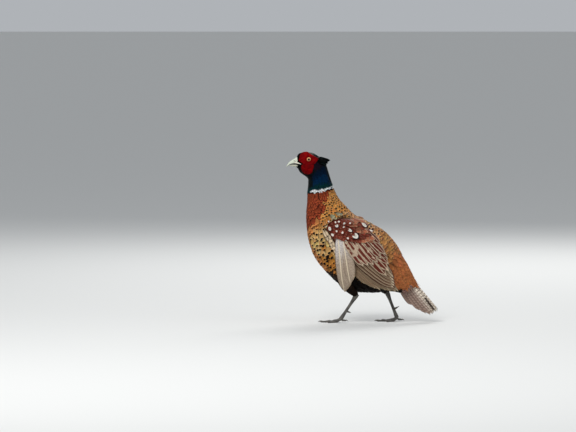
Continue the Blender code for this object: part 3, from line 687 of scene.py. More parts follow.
# %% Vane meshes
def make_vane(name, outline, columns, tip_round=0.16, jag=0.0, hand=1, lead=1.0):
    """A unit feather. outline is (share along, half width share) from root to tip.

    lead is how wide the leading side is, as a share of the trailing one."""
    places, grain, faces = [], [], []
    shake = np.random.default_rng(3).uniform(-1, 1, columns)
    last = len(outline) - 1
    for i, (along, width) in enumerate(outline):
        for c in range(columns):
            v = -1 + 2 * c / (columns - 1)
            reach = along - tip_round * along**3 * v * v
            if i >= last - 1:
                reach += jag * shake[c] * (1.0 if i == last else 0.4)
            lift = (1 - v * v) * (1 - 0.85 * along**4)
            places.append((reach, v * width * hand * (lead if v < 0 else 1.0), lift))
            grain.append(((v + 1) / 2, along))
    for i in range(last):
        for c in range(columns - 1):
            a = i * columns + c
            faces.append((a, a + columns, a + columns + 1, a + 1))
        start = i * columns
        faces.append((start, start + columns - 1, start + 2 * columns - 1, start + columns))
    faces.append(tuple(range(columns)))
    faces.append(tuple(range(last * columns, (last + 1) * columns))[::-1])
    if hand < 0:
        faces = [face[::-1] for face in faces]
    mesh = bpy.data.meshes.new(name)
    mesh.from_pydata(places, [], faces)
    set_attribute(mesh, "vane_place", "FLOAT_VECTOR", places)
    uv = mesh.uv_layers.new(name="vane")
    corners = np.zeros(len(mesh.loops), int)
    mesh.loops.foreach_get("vertex_index", corners)
    uv.data.foreach_set("uv", np.array(grain)[corners].ravel())
    return link(name, mesh)


ROUND_OUTLINE = ((0.0, 0.34), (0.3, 0.74), (0.58, 0.97), (0.8, 0.92), (0.93, 0.66), (1.0, 0.3))
SMALL_OUTLINE = ((0.0, 0.4), (0.5, 0.95), (0.85, 0.8), (1.0, 0.3))
SILKY_OUTLINE = ((0.0, 0.3), (0.35, 0.85), (0.7, 0.9), (0.9, 0.55), (1.0, 0.12))
round_vane = make_vane("round_vane", ROUND_OUTLINE, 5, jag=0.02)
small_vane = make_vane("small_vane", SMALL_OUTLINE, 3)
silky_vane = make_vane("silky_vane", SILKY_OUTLINE, 5, jag=0.09)
VANES = [round_vane, small_vane, silky_vane]
print("faces of a body feather:", len(round_vane.data.polygons))

# %% [markdown]
# ## Laying feathers with Geometry Nodes
# A coat is thousands of feathers that follow the skin, which is what Geometry Nodes do
# best. Python gives one point for each feather, with its reach, its width and its
# heights as attributes. The tree puts a vane on every point, makes the copies real,
# presses each vertex onto the skin by finding the nearest place on it, and lifts it by
# the height it should have. Roots lie low and tips high, like roof tiles. A second map
# keeps a patch for each feather: a tiny one at its root's place for the thousands of
# small ones, and a cell of its own for each of the few large ones.

# %% The tree
def feather_tree():
    tree = bpy.data.node_groups.new("lay_feathers", "GeometryNodeTree")
    for name, kind in (("Roots", "Geometry"), ("Vane", "Object"), ("Skin", "Object"),
                       ("Cling", "Float"), ("Patch", "Float"), ("Finish", "Material")):
        tree.interface.new_socket(name, in_out="INPUT", socket_type="NodeSocket" + kind)
    tree.interface.new_socket("Feathers", in_out="OUTPUT", socket_type="NodeSocketGeometry")
    g = Nodes(tree)
    given = {s.name: Value(g, s) for s in tree.nodes.new("NodeGroupInput").outputs if s.name}

    def stored(name):
        return g.add("GeometryNodeInputNamedAttribute", {"data_type": "FLOAT_VECTOR"}, {"Name": name})

    vane = g.add("GeometryNodeObjectInfo", {}, {"Object": given["Vane"]}, "Geometry")
    copies = g.add("GeometryNodeInstanceOnPoints", {}, {"Points": given["Roots"], "Instance": vane})
    real = g.add("GeometryNodeRealizeInstances", {}, {0: copies})
    along, share, dome = g.split(stored("vane_place"))
    root_lift, tip_lift, camber = g.split(stored("lifts"))
    tilt, curve, _ = g.split(stored("swing"))
    ahead = g.vector("ADD", stored("root"), g.scaled(stored("reach"), along))
    flat = g.vector("ADD", ahead, g.scaled(stored("across"), share))
    level = (root_lift + (tip_lift - root_lift) * (along ** curve)) + camber * dome + tilt * share
    body_skin = g.add("GeometryNodeObjectInfo", {}, {"Object": given["Skin"]}, "Geometry")
    place = g.add("GeometryNodeInputPosition")

    def on_skin(value):
        return g.add("GeometryNodeSampleNearestSurface", {"data_type": "FLOAT_VECTOR"},
                     {"Mesh": body_skin, "Value": value, "Sample Position": flat})

    pressed = g.vector("ADD", on_skin(place), g.scaled(on_skin(stored("skin_out")), level))
    free = g.vector("ADD", flat, g.scaled(stored("stand"), level))
    final = g.add("ShaderNodeMix", {"data_type": "VECTOR"}, {0: given["Cling"], 4: free, 5: pressed}, 1)
    laid = g.add("GeometryNodeSetPosition", {}, {"Geometry": real, "Position": final})
    uv = g.add("GeometryNodeInputNamedAttribute", {"data_type": "FLOAT_VECTOR"}, {"Name": "vane"})
    spot = g.scaled(g.vector("SUBTRACT", uv, (0.5, 0.5, 0.0)), given["Patch"])
    mapped = g.add("GeometryNodeStoreNamedAttribute", {"data_type": "FLOAT2", "domain": "CORNER"},
                   {"Geometry": laid, "Name": "OFBake", "Value": g.vector("ADD", stored("bake"), spot)})
    smoothed = g.add("GeometryNodeSetShadeSmooth", {}, {0: mapped})
    finished = g.add("GeometryNodeSetMaterial", {}, {"Geometry": smoothed, "Material": given["Finish"]})
    tree.links.new(finished.socket, tree.nodes.new("NodeGroupOutput").inputs[0])
    return tree


LAY = feather_tree()
PATCH = 0.003
COLOURS = ("ground", "rim", "mark")
PLACING = ("root", "reach", "across", "stand", "lifts", "swing", "bake")


def feather_set(root, tip, out, half_width, lifts, kinds, bake, swing=(0.0, 1.0)):
    """The arrays that describe feathers, from points in the drawing's millimetres.

    swing is how far one edge is tilted up, and how late the tip rises."""
    n = len(root)
    reach = tip - root
    across = np.cross(out, reach)
    across /= np.linalg.norm(across, axis=1)[:, None]
    half_width = np.broadcast_to(half_width, n)
    return {
        "root": (root + SHIFT) * MM,
        "reach": reach * MM,
        "across": across * half_width[:, None] * MM,
        "stand": out,
        "lifts": np.broadcast_to(lifts, (n, 3)) * MM,
        "swing": np.broadcast_to((*swing, 0.0), (n, 3)) * (MM, 1, 1),
        "bake": np.column_stack([bake, np.zeros(n)]),
        **kinds,
    }


def in_cells(feathers):
    """Gives each of a few large feathers a cell of its own on the map, and its size."""
    count = len(feathers["root"])
    across = math.ceil(math.sqrt(count))
    k = np.arange(count)
    feathers["bake"] = np.column_stack([(k % across + 0.5) / across, (k // across + 0.5) / across,
                                        np.zeros(count)])
    return 0.9 / across


def lay_feathers(name, feathers, vane, surface, finish, cling=1.0, patch=PATCH):
    """One piece made of a vane on every root. With no patch, every feather has a cell."""
    patch = patch or in_cells(feathers)
    mesh = bpy.data.meshes.new(name + "_roots")
    mesh.from_pydata(feathers["root"].tolist(), [], [])
    for key, values in feathers.items():
        set_attribute(mesh, key, "FLOAT_COLOR" if key in COLOURS else "FLOAT_VECTOR", values)
    roots = link(name + "_roots", mesh)
    modifier = roots.modifiers.new("lay", "NODES")
    modifier.node_group = LAY
    values = {"Vane": vane, "Skin": surface, "Cling": cling, "Patch": patch,
              "Finish": finish.material}
    for item in LAY.interface.items_tree:
        if item.name in values:
            modifier[item.identifier] = values[item.name]
    bpy.context.view_layer.update()
    graph = bpy.context.evaluated_depsgraph_get()
    made = link(name, bpy.data.meshes.new_from_object(roots.evaluated_get(graph)))
    bpy.data.objects.remove(roots)
    for key in PLACING + ("vane_place",):
        if key in made.data.attributes:
            made.data.attributes.remove(made.data.attributes[key])
    print(name, "feathers:", len(feathers["root"]), "triangles:",
          sum(len(p.vertices) - 2 for p in made.data.polygons))
    return made


# %% [markdown]
# ## The finish of a contour feather
# The visible part of a body feather is its outer third. The material works in the
# vane's own shares: a rim that follows the rounded tip, a dark mark just inside it and
# fine barbs that slant from the shaft as bump and a faint change of shade. Colours come
# from the feather's own attributes.

# %% Feather finish
def feather_shares(f):
    """Distance from the shaft, share along the vane and distance to the rim."""
    x, along, _ = f.split(f.add("ShaderNodeUVMap", {"uv_map": "vane"}))
    side = (x * 2 - 1).math("ABSOLUTE")
    tip = ((along - 0.6) / 0.4).math("MAXIMUM", 0.0)
    edge = (side ** 2 + tip ** 2) ** 0.5
    return side, along, edge


def barbs(f, side, along, count=26.0):
    """Fine slanting lines, from 0 to 1."""
    return ((along * count + side * (count * -0.35)) * FULL_TURN).math("SINE") * 0.5 + 0.5


BARB_SHADE = 0.12
# UNDER_SHADE is how dark the painted shadow is on the root part of each vane, under the row above.
UNDER_SHADE = 0.42


def contour_finish(name, **constants):
    f = Finish(name, **constants)
    side, along, edge = feather_shares(f)
    rim_from, mark_size, mark_width = f.numbers("pattern")
    lines = barbs(f, side, along)
    colour = f.blend(f.step(edge - rim_from, 0.0, 0.18), f.colour("ground"), f.colour("rim"))
    reach = (((side / mark_width) ** 2) + (((along - 0.87) / 0.085) ** 2)) ** 0.5
    spot = f.step(mark_size - reach, -0.1, 0.18)
    colour = f.blend(spot, colour, f.colour("mark"))
    # Painted shadow: the root part of each vane darkens towards black, as if shaded by the row above.
    under = f.step(along, 0.86, 0.64)
    colour = f.blend(lines * BARB_SHADE + under * UNDER_SHADE, colour, rgb(0.0, 0.0, 0.0))
    f.link(colour, "Base Color")
    f.bump(lines, 0.35, 0.0003)
    return f


PLUMAGE = contour_finish("contour_feather", Roughness=0.65, Specular_IOR_Level=0.06)
GLOSSY = contour_finish("hood_feather", Roughness=0.42, Metallic=0.4, Specular_IOR_Level=0.05)

# %% [markdown]
# ## Rows of feathers over the body
# Feathers grow in rows round the body, each row shifted by half a feather, so that every
# tip covers the gap between two roots below it. The distance between rows follows the
# size of the feathers: tiny on the head, coin-sized on the breast.

# %% Size of feathers along the bird
GAP_AT = (0, 5, 7, 9, 10.2, 10.8, 12, 13.5, 15, 19, 20.5, 22)
GAP_WIDTH = (1.5, 1.7, 2.2, 3.0, 3.4, 5.2, 7.6, 10.0, 12.5, 10.5, 7.0, 6.0)
ROW_SHARE = 0.6
LENGTH_SHARE = 2.1
WIDTH_SHARE = 0.66
ROWS_END = 21.6


def feather_gap(s):
    return np.interp(s, GAP_AT, GAP_WIDTH)


FACE_LOBES = [
    ((-121.0, 363.8), (16.8, 15.0), 0.0),
    ((-117.6, 343.4), (14.8, 15.2), -8.0),
    ((-106.0, 361.0), (15.6, 10.4), 9.0),
]
FACE_NOTCH = (-132.6, 352.4)
FACE_NOTCH_RADIUS = 3.9


# Edges that trim the lobes, because black feathers grow before, over and behind them.
# Each row is the side that is outside and its lines, of which the gentlest counts.
FACE_EDGES = [
    (-1, [((-132.5, 380.0), (-138.5, 358.0))]),
    (1, [((-113.0, 375.4), (-92.8, 363.4))]),
    (1, [((-89.6, 366.2), (-100.9, 352.7)), ((-100.0, 358.4), (-107.4, 333.5))]),
]


def face_distance(x, z):
    """Millimetres outside the red face's outline, seen from the side; negative inside."""
    nearest = np.full(np.shape(x), 1e9)
    for (cx, cz), (a, b), turn in FACE_LOBES:
        lean = math.radians(turn)
        u = (x - cx) * math.cos(lean) + (z - cz) * math.sin(lean)
        v = -(x - cx) * math.sin(lean) + (z - cz) * math.cos(lean)
        r = np.sqrt((u / a) ** 2 + (v / b) ** 2)
        nearest = np.minimum(nearest, (r - 1) * np.sqrt((u * u + v * v) / np.maximum(r * r, 1e-6)))
    for outside, lines in FACE_EDGES:
        past = np.min([outside * line_side(x, z, *line) for line in lines], axis=0)
        nearest = np.maximum(nearest, past)
    return np.maximum(nearest, FACE_NOTCH_RADIUS - np.hypot(x - FACE_NOTCH[0], z - FACE_NOTCH[1]))


def body_roots():
    """Places (s, turn) and lengths of all body feathers, row by row."""
    places = []
    s, row = 0.12, 0
    around = np.linspace(0, 2 * math.pi, 73)
    while s < ROWS_END:
        gap = feather_gap(s)
        ring = body(np.full(73, s), around)
        girth = np.linalg.norm(np.diff(ring, axis=0), axis=1).sum()
        count = max(8, round(girth / gap))
        shift = (row % 2) / 2
        turns = (np.arange(count) + shift + rng.normal(0, 0.13, count)) / count * 2 * math.pi
        rows = s + rng.normal(0, 0.05, count) * gap / 8
        places.append(np.column_stack([rows, turns, np.full(count, gap)]))
        ahead = body(np.full(73, s + 0.05), around)
        speed = np.linalg.norm(ahead - ring, axis=1).mean() / 0.05
        s += gap * ROW_SHARE / speed
        row += 1
    return np.concatenate(places)


def body_feathers():
    """Everything that feather_set needs for the body, and each root's place."""
    s, turn, gap = body_roots().T
    depth = coat_depth(s)
    root = body(s, turn, -depth)
    step = 0.03
    speed = np.linalg.norm(body(s + step, turn) - body(s, turn), axis=1) / step
    silky = s > 18.4
    length = gap * LENGTH_SHARE * np.where(silky & (np.cos(turn) > -0.2), 1.5, 1.0)
    length *= 1 + rng.normal(0, 0.07, len(s))
    ahead = np.clip(length / np.maximum(speed, 2.0), 0, 3.0)
    drift = rng.normal(0, 0.03, len(s))
    tip = body(s + ahead, turn + drift, -depth)
    seen = body(s + 0.8 * ahead, turn)
    out = outward(body, s, turn)
    kind = kinds_at(s + 0.8 * ahead, turn, seen, 1.0)
    half = gap * WIDTH_SHARE
    ruff = 1.3 * np.exp(-((s - 9.7) / 0.9) ** 2)
    tip_lift = depth * (0.95 + 0.1 * rng.uniform(-1, 1, len(s))) + ruff
    lifts = np.column_stack([np.full(len(s), 0.15), tip_lift, 0.05 * gap + 0.1])
    bake = np.column_stack([0.02 + 0.96 * (turn / (2 * math.pi) % 1), 0.02 + 0.96 * s / LAST])
    looks = look_arrays(kind, 0.1)
    return s, turn, seen, feather_set(root, tip, out, half, lifts, looks, bake, (0.0, 0.8))


def chosen(feathers, where):
    return {key: values[where] for key, values in feathers.items()}


NECK_FROM = 7.0
HOOD_END = 9.5
RUMP_FROM = 18.2
s_all, turn_all, seen_all, all_feathers = body_feathers()
off_face = face_distance(seen_all[:, 0], seen_all[:, 2]) > -0.6
bare = (s_all < 7.2) & ~off_face & (np.abs(np.sin(turn_all)) > 0.2)
COATS = [
    ("head_feathers", (s_all < NECK_FROM) & ~bare, small_vane, GLOSSY, "neck_feathers"),
    ("neck_feathers", (s_all >= NECK_FROM) & (s_all < HOOD_END), small_vane, GLOSSY, "neck_feathers"),
    ("breast_feathers", (s_all >= HOOD_END) & (s_all < RUMP_FROM), round_vane, PLUMAGE,
     "breast_feathers"),
    ("rump_feathers", s_all >= RUMP_FROM, silky_vane, PLUMAGE, "rump_feathers"),
]
laid_coats = [(lay_feathers(name, chosen(all_feathers, where), vane, skin, finish), slot)
              for name, where, vane, finish, slot in COATS]

# %% [markdown]
# ## Feathered thighs
# The thighs are short and dark here, half hidden by the belly. They use the same tree,
# with rows that go down the leg to the ankle.

# %% Thigh feathers
def thigh_feathers(leg):
    rows = []
    t, row = 0.12, 0
    while t < 0.97:
        gap = mix(7.0, 3.0, t)
        radius = thigh_radius(t)
        count = max(7, round(2 * math.pi * radius / gap))
        turns = (np.arange(count) + (row % 2) / 2 + rng.normal(0, 0.12, count)) / count * 2 * math.pi
        rows.append(np.column_stack([np.full(count, t), turns, np.full(count, gap)]))
        t += gap * 0.55 / 85.0
        row += 1
    t, turn, gap = np.concatenate(rows).T
    root = thigh(leg, t, turn, -THIGH_COAT)
    tip = thigh(leg, np.minimum(t + gap * 2.2 / 85.0, 1.04), turn, -THIGH_COAT)
    middle = np.array([thigh_path(leg, v) for v in t])
    out = root - middle
    out /= np.linalg.norm(out, axis=1)[:, None]
    kind = np.full(len(t), KIND_NAMES.index("belly"))
    kind[rng.uniform(0, 1, len(t)) < 0.4] = KIND_NAMES.index("vent")
    lifts = (0.1, THIGH_COAT * 0.9, 0.4)
    bake = np.column_stack([0.02 + 0.96 * (turn / (2 * math.pi) % 1), 0.02 + 0.9 * t])
    return feather_set(root, tip, out, gap * 0.66, lifts, look_arrays(kind, 0.15), bake)


for leg in LEGS:
    coat = lay_feathers(sided("thigh_feathers", leg.side), thigh_feathers(leg), round_vane, skin,
                        PLUMAGE)
    dress(coat, "thigh_feathers")

# %% The skin takes the colours of its coat
PAINT_ROWS = 180
PAINT_SIDES = 60
SKIN_SHADE = (0.6, 0.6, 0.6, 1.0)


def paint_skin():
    """Gives each vertex of the skin the ground colour of the feathers over it."""
    s = np.repeat(np.linspace(0, LAST, PAINT_ROWS), PAINT_SIDES)
    turn = np.tile(turns_round(PAINT_SIDES), PAINT_ROWS)
    points = body(s, turn, -coat_depth(s))
    kind = kinds_at(s, turn, points)
    tree = KDTree(len(points))
    for i, point in enumerate((points + SHIFT) * MM):
        tree.insert(point, i)
    tree.balance()
    colours = np.array([(*KINDS[name].ground, 1.0) for name in KIND_NAMES])
    near = [tree.find(v.co)[1] for v in skin.data.vertices]
    set_attribute(skin.data, "ground", "FLOAT_COLOR", colours[kind[near]] * SKIN_SHADE)


paint_skin()
SKIN_FINISH = Finish("down", Roughness=0.8)
down = SKIN_FINISH.noise(SKIN_FINISH.object_place(), 900.0, 3.0)
SKIN_FINISH.link(SKIN_FINISH.blend(down * 0.35, SKIN_FINISH.colour("ground"), rgb(0, 0, 0)),
                 "Base Color")
SKIN_FINISH.bump(down, 0.4, 0.0006)
finish_with(skin, SKIN_FINISH, "breast_feathers", "torso", "rump", "thigh_left", "thigh_right",
            "head", "neck")
for coat, slot in laid_coats:
    dress(coat, slot)

# %% [markdown]
# ## Folded wings
# A folded wing is a stack of tiers. The long primaries lie lowest, then secondaries,
# tertials and the great coverts, with the spotted scapulars over them all. On the side
# of the body they lie on a long flattened dome, so a place seen from the side has one
# place on the dome. Each feather is a chord between two such places, pressed onto the
# dome by the same tree that laid the coat.

# %% The flank that the wing lies on
FLANK_CENTRE = np.array((-18.0, 160.0))
FLANK_SLOPE = math.radians(-44.4)
FLANK_FRONT = 128.0
FLANK_REAR = 178.0
FLANK_RISE = 70.0
FLANK_DROP = 88.0
FLANK_HALF_WIDTH = 65.5
FLANK_MAX_EDGE = 0.93


def flank(places, side, lift=0.0):
    """Points over the flank for places (x, z) in the side view, and the way out there."""
    offset = np.asarray(places, float) - FLANK_CENTRE
    along = np.array((math.cos(FLANK_SLOPE), math.sin(FLANK_SLOPE)))
    across = np.array((-along[1], along[0]))
    u, v = offset @ along, offset @ across
    length = np.where(u > 0, FLANK_REAR, FLANK_FRONT)
    height = np.where(v > 0, FLANK_RISE, FLANK_DROP)
    edge = np.minimum((u / length) ** 2 + (v / height) ** 2, FLANK_MAX_EDGE)
    out = FLANK_HALF_WIDTH * np.sqrt(1 - edge)
    lean = np.outer(u / length**2, along) + np.outer(v / height**2, across)
    normal = np.column_stack([lean[:, 0], side * out / FLANK_HALF_WIDTH**2, lean[:, 1]])
    normal /= np.linalg.norm(normal, axis=1)[:, None]
    points = np.column_stack([offset[:, 0] + FLANK_CENTRE[0], side * out, offset[:, 1] + FLANK_CENTRE[1]])
    return points + normal * lift, normal


def guide(name, points, rows, columns, out):
    """A surface that feathers are pressed onto, with the way out kept on its points."""
    made = mesh_of(name, points, grid_faces(rows, columns, closed=False), recalculate=False)
    set_attribute(made.data, "skin_out", "FLOAT_VECTOR", out)
    return made


def flank_guide(side):
    x, z = np.meshgrid(np.linspace(-160, 130, 100), np.linspace(30, 270, 84))
    points, out = flank(np.column_stack([x.ravel(), z.ravel()]), side)
    return guide(sided("flank_guide", side), points, 84, 100, out)


# %% Tiers of the wing
Tier = namedtuple("Tier", "name count roots tips half_widths lifts camber kind")
WING_TIERS = [
    Tier("primaries", 8, ((-38, 143), (-26, 146), (-20, 156)), ((18, 80), (74, 62), (86, 67)),
         (7.0, 8.0), (0.8, 1.0), 0.7, "primary"),
    Tier("secondaries", 5, ((-32, 158), (-18, 162), (-4, 176)), ((76, 74), (78, 84), (74, 98)),
         (12.0, 11.0), (3.0, 4.0), 0.8, "secondary"),
    Tier("tertials", 6, ((-14, 180), (4, 190), (12, 202)), ((60, 102), (68, 128), (42, 170)),
         (10.0, 9.0), (4.5, 7.0), 0.9, "tertial"),
    Tier("great_coverts", 6, ((-39, 186), (-18, 188), (2, 200)), ((7, 127), (34, 122), (51, 148)),
         (8.5, 8.5), (5.0, 9.0), 0.9, "covert"),
    Tier("pale_feathers", 2, ((-41, 196), (-47, 196), (-50, 192)), ((-20, 88), (-24, 80), (-32, 71)),
         (17.0, 23.0), (4.6, 9.4), 1.4, "pale"),
]
# centre, fringe and the line between them; where the line runs, its width and the share of
# dark freckles
Band = namedtuple("Band", "ground rim mark place width mottle")
NONE = -0.05
BANDS = {
    "primary": Band((0.25, 0.16, 0.095), (0.56, 0.45, 0.29), (0.13, 0.075, 0.045), 0.84, 0.03, 0.25),
    "secondary": Band((0.23, 0.15, 0.09), (0.13, 0.04, 0.025), (0.42, 0.33, 0.22), 0.78, 0.05, 0.2),
    "tertial": Band((0.12, 0.02, 0.011), (0.5, 0.37, 0.25), (0.8, 0.62, 0.42), 0.72, NONE, 0.45),
    "covert": Band((0.12, 0.02, 0.012), (0.5, 0.38, 0.27), (0.8, 0.62, 0.44), 0.7, NONE, 0.4),
    "pale": Band((0.46, 0.36, 0.27), (0.6, 0.46, 0.3), (0.4, 0.28, 0.2), 0.93, 0.03, 0.55),
    "maroon": Band((0.17, 0.028, 0.015), (0.34, 0.11, 0.055), (0.3, 0.1, 0.06), 0.84, NONE, 0.2),
    "auburn": Band((0.3, 0.09, 0.045), (0.62, 0.34, 0.2), (0.5, 0.3, 0.2), 0.66, NONE, 0.4),
    "front": Band((0.66, 0.5, 0.32), (0.22, 0.14, 0.09), (0.7, 0.58, 0.42), 0.6, 0.06, 0.3),
    "tail": Band((0.8, 0.7, 0.58), (0.36, 0.25, 0.21), (0.05, 0.022, 0.015), 0, 0, 0),
    "ridge": Band((0.84, 0.75, 0.62), (0.6, 0.49, 0.39), (0.05, 0.022, 0.015), 0, 0, 0),
    # gap: black, for the strips of painted shadow between tail feathers
    "gap": Band((0.004, 0.003, 0.003), (0.004, 0.003, 0.003), (0.002, 0.002, 0.002), 0, 0, 0),
}
FLIGHT_OUTLINE = tuple(zip((0.0, 0.12, 0.28, 0.45, 0.62, 0.78, 0.89, 0.96, 1.0),
                           (0.4, 0.66, 0.88, 0.99, 1.0, 0.93, 0.76, 0.5, 0.22)))


def flight_finish(name, pale_root=0.0, shaft=0.8, wander_share=0.16, blotch=0.0, **constants):
    """Feathers that show most of their length: centre, line and fringe, with a pale shaft.

    blotch breaks the centre up into patches and gives the vane a pale edge."""
    f = Finish(name, **constants)
    x, along, _ = f.split(f.add("ShaderNodeUVMap", {"uv_map": "vane"}))
    side = (x * 2 - 1).math("ABSOLUTE")
    tip = ((along - 0.78) / 0.22).math("MAXIMUM", 0.0)
    wander = f.noise(f.object_place(), 160.0, 3.0) - 0.5
    edge = ((side ** 2 + tip ** 2) ** 0.5) + wander * wander_share
    place, width, mottle = f.numbers("pattern")
    centre = f.colour("ground")
    if blotch:
        patches = f.step(f.noise(f.object_place(), 75.0, 2.0), 0.52, 0.62)
        centre = f.blend(patches * blotch, centre, f.colour("rim"))
    colour = f.blend(f.step(edge - place, -0.04, 0.06), centre, f.colour("rim"))
    band = (edge - place).math("ABSOLUTE")
    colour = f.blend(f.step(band - width, 0.03, -0.03), colour, f.colour("mark"))
    if pale_root:
        colour = f.blend(f.step(along, 0.6, 0.15) * pale_root, colour, rgb(0.72, 0.68, 0.66))
    fleck = f.step(f.noise(f.object_place(), 620.0, 4.0), 0.47, 0.62)
    colour = f.blend(fleck * mottle, colour, rgb(0.06, 0.026, 0.018))
    colour = f.blend(f.step(side, 0.1, 0.04) * shaft, colour, rgb(0.74, 0.62, 0.44))
    if blotch:
        colour = f.blend(f.step(side, 0.8, 0.9) * 0.8, colour, f.colour("mark"))
    lines = barbs(f, side, along, 90.0)
    deep = f.step(side, 0.92, 1.0)
    colour = f.blend(lines * 0.12 + deep * 0.4, colour, rgb(0.0, 0.0, 0.0))
    f.link(colour, "Base Color")
    f.bump(lines, 0.3, 0.0003)
    return f


OVAL_PLACE = 0.66


def oval_finish():
    """Maroon feathers that end in a cream drop with a black border."""
    f = Finish("oval_feather", Roughness=0.6, Specular_IOR_Level=0.08)
    x, along, _ = f.split(f.add("ShaderNodeUVMap", {"uv_map": "vane"}))
    side = (x * 2 - 1).math("ABSOLUTE")
    wide, long, border = f.numbers("pattern")
    wander = f.noise(f.object_place(), 300.0, 3.0) - 0.5
    before, after = ((along - OVAL_PLACE).math(limit, 0.0) for limit in ("MINIMUM", "MAXIMUM"))
    drop = before * 0.6 + after
    reach = (((side / wide) ** 2 + (drop / long) ** 2) ** 0.5) + wander * 0.3
    bordered = f.step(reach, 1.7, 1.45) * f.step(along, 0.56, 0.68) * border
    colour = f.blend(bordered, f.colour("rim"), f.colour("mark"))
    colour = f.blend(f.step(reach, 1.1, 0.9), colour, f.colour("ground"))
    heart = f.step(reach + wander, 0.7, 0.3)
    colour = f.blend(heart * (border * 0.35 + 0.15), colour, rgb(0.2, 0.21, 0.17))
    lines = barbs(f, side, along, 50.0)
    f.link(f.blend(lines * 0.16, colour, rgb(0.0, 0.0, 0.0)), "Base Color")
    f.bump(lines, 0.3, 0.0003)
    return f


FLIGHT = flight_finish("flight_feather", Roughness=0.6, Specular_IOR_Level=0.1)
COVERT = flight_finish("covert_feather", 0.0, 0.7, 0.6, 0.85, Roughness=0.6, Specular_IOR_Level=0.08)
SCAPULAR = flight_finish("scapular_feather", 0.0, 0.1, 0.3, Roughness=0.6, Specular_IOR_Level=0.08)
PALE = flight_finish("pale_feather", 0.7, 1.0, Roughness=0.6, Specular_IOR_Level=0.1)
OVAL = oval_finish()


def band_looks(names, spread=0.07):
    """The attributes of feathers from their kinds of banding."""
    rows = [BANDS[name] for name in names]
    shade = np.clip(1 + spread * rng.normal(0, 1, (len(rows), 1)), 0.6, 1.5)

    def colour(field):
        return np.hstack([np.array([getattr(row, field) for row in rows]) * shade,
                          np.ones((len(rows), 1))])

    pattern = np.array([(row.place, row.width, row.mottle) for row in rows], float)
    return {"ground": colour("ground"), "rim": colour("rim"), "mark": colour("mark"),
            "pattern": pattern}


def side_view_feathers(side, roots, tips, half_width, lifts, looks, tilt=1.25):
    """Feathers between places of the side view, on one flank."""
    root, _ = flank(roots, side)
    tip, _ = flank(tips, side)
    _, out = flank((roots + tips) / 2, side)
    bake = np.zeros((len(roots), 2))
    return feather_set(root, tip, out, half_width, lifts, looks, bake, (tilt * side, 1.0))


def spread_tier(tier):
    """Roots, tips and half widths of a tier, from its first feather to its last."""
    t = np.linspace(0, 1, tier.count)
    roots = np.array([bend(*tier.roots, v) for v in t])
    tips = np.array([bend(*tier.tips, v) for v in t])
    tips += rng.normal(0, 0.9, tips.shape)
    return roots, tips, mix(tier.half_widths[0], tier.half_widths[1], t)


# %% Scapulars and the wing's front edge
SCAPULAR_ROWS = 7
SCAPULAR_COUNT = 10
SCAPULAR_SLOPE = math.radians(-38)
# feathers with a pale oval: its place in the side view, half width and half length
OVALS = [
    ((-66, 206), 2.8, 3.4), ((-52, 212), 3.0, 3.6), ((-55, 219), 1.6, 1.9), ((-48, 220), 2.2, 1.8),
    ((-69, 221), 1.6, 1.8), ((-37, 216), 2.9, 1.5), ((-25, 216), 2.0, 1.7), ((-38, 209), 2.4, 1.8),
    ((-52, 201), 1.8, 2.0), ((-40, 198), 2.2, 2.4), ((-25, 202), 2.8, 5.2), ((-60, 194), 2.6, 3.4),
    ((-13, 190), 5.6, 6.6), ((-28, 186), 1.9, 2.0), ((5, 210), 4.0, 5.4), ((20, 198), 2.4, 2.8),
]
OVAL_MARGINS = (2.4, 4.0)
BORDERED_FROM = 2.7


def scapulars(side):
    """Rows of short broad maroon feathers over the shoulder."""
    roots, tips, names = [], [], []
    for row in range(SCAPULAR_ROWS):
        share = row / (SCAPULAR_ROWS - 1)
        start = mix(np.array((-58.0, 198.0)), np.array((-66.0, 224.0)), share)
        end = mix(np.array((22.0, 182.0)), np.array((2.0, 224.0)), share)
        for k in range(SCAPULAR_COUNT):
            t = (k + 0.5 * (row % 2)) / SCAPULAR_COUNT
            place = mix(start, end, t) + rng.normal(0, 1.0, 2)
            slope = SCAPULAR_SLOPE + mix(-0.5, 0.05, t) + rng.normal(0, 0.06)
            way = np.array((math.cos(slope), math.sin(slope)))
            length = mix(26.0, 20.0, share)
            roots.append(place - 0.4 * length * way)
            tips.append(place + 0.6 * length * way)
            rear = place[0] + 26 * smooth(share, 0.6, 1.0) + rng.normal(0, 9.0) > 0
            names.append("auburn" if rear else "maroon")
    return side_view_feathers(side, np.array(roots), np.array(tips), 6.8, (1.5, 10.0, 1.0),
                              band_looks(names, 0.2), 0.4)


def oval_feathers(side):
    """The spotted feathers, each laid so that its oval falls on its place."""
    roots, tips, half_widths, shares = [], [], [], []
    for (x, z), wide, high in OVALS:
        slope = SCAPULAR_SLOPE + rng.normal(0, 0.14) - 0.35 * (x < -30)
        way = np.array((math.cos(slope), math.sin(slope)))
        place = np.array((x, z), float)
        margin = OVAL_MARGINS[wide >= BORDERED_FROM]
        length = (high + margin) / (1 - OVAL_PLACE)
        roots.append(place - way * length * OVAL_PLACE)
        tips.append(place + way * length * (1 - OVAL_PLACE))
        half_widths.append(wide + margin)
        shares.append((wide / half_widths[-1], high / length, wide >= BORDERED_FROM))
    looks = band_looks(["maroon"] * len(roots), 0.1)
    looks["ground"] = np.tile((0.72, 0.68, 0.6, 1.0), (len(roots), 1))
    looks["mark"] = np.tile((0.008, 0.004, 0.004, 1.0), (len(roots), 1))
    looks["rim"] = np.tile((0.16, 0.026, 0.014, 1.0), (len(roots), 1))
    looks["pattern"] = np.array(shares)
    return side_view_feathers(side, np.array(roots), np.array(tips), np.array(half_widths),
                              (3.6, 12.4, 1.0), looks, 0.4)


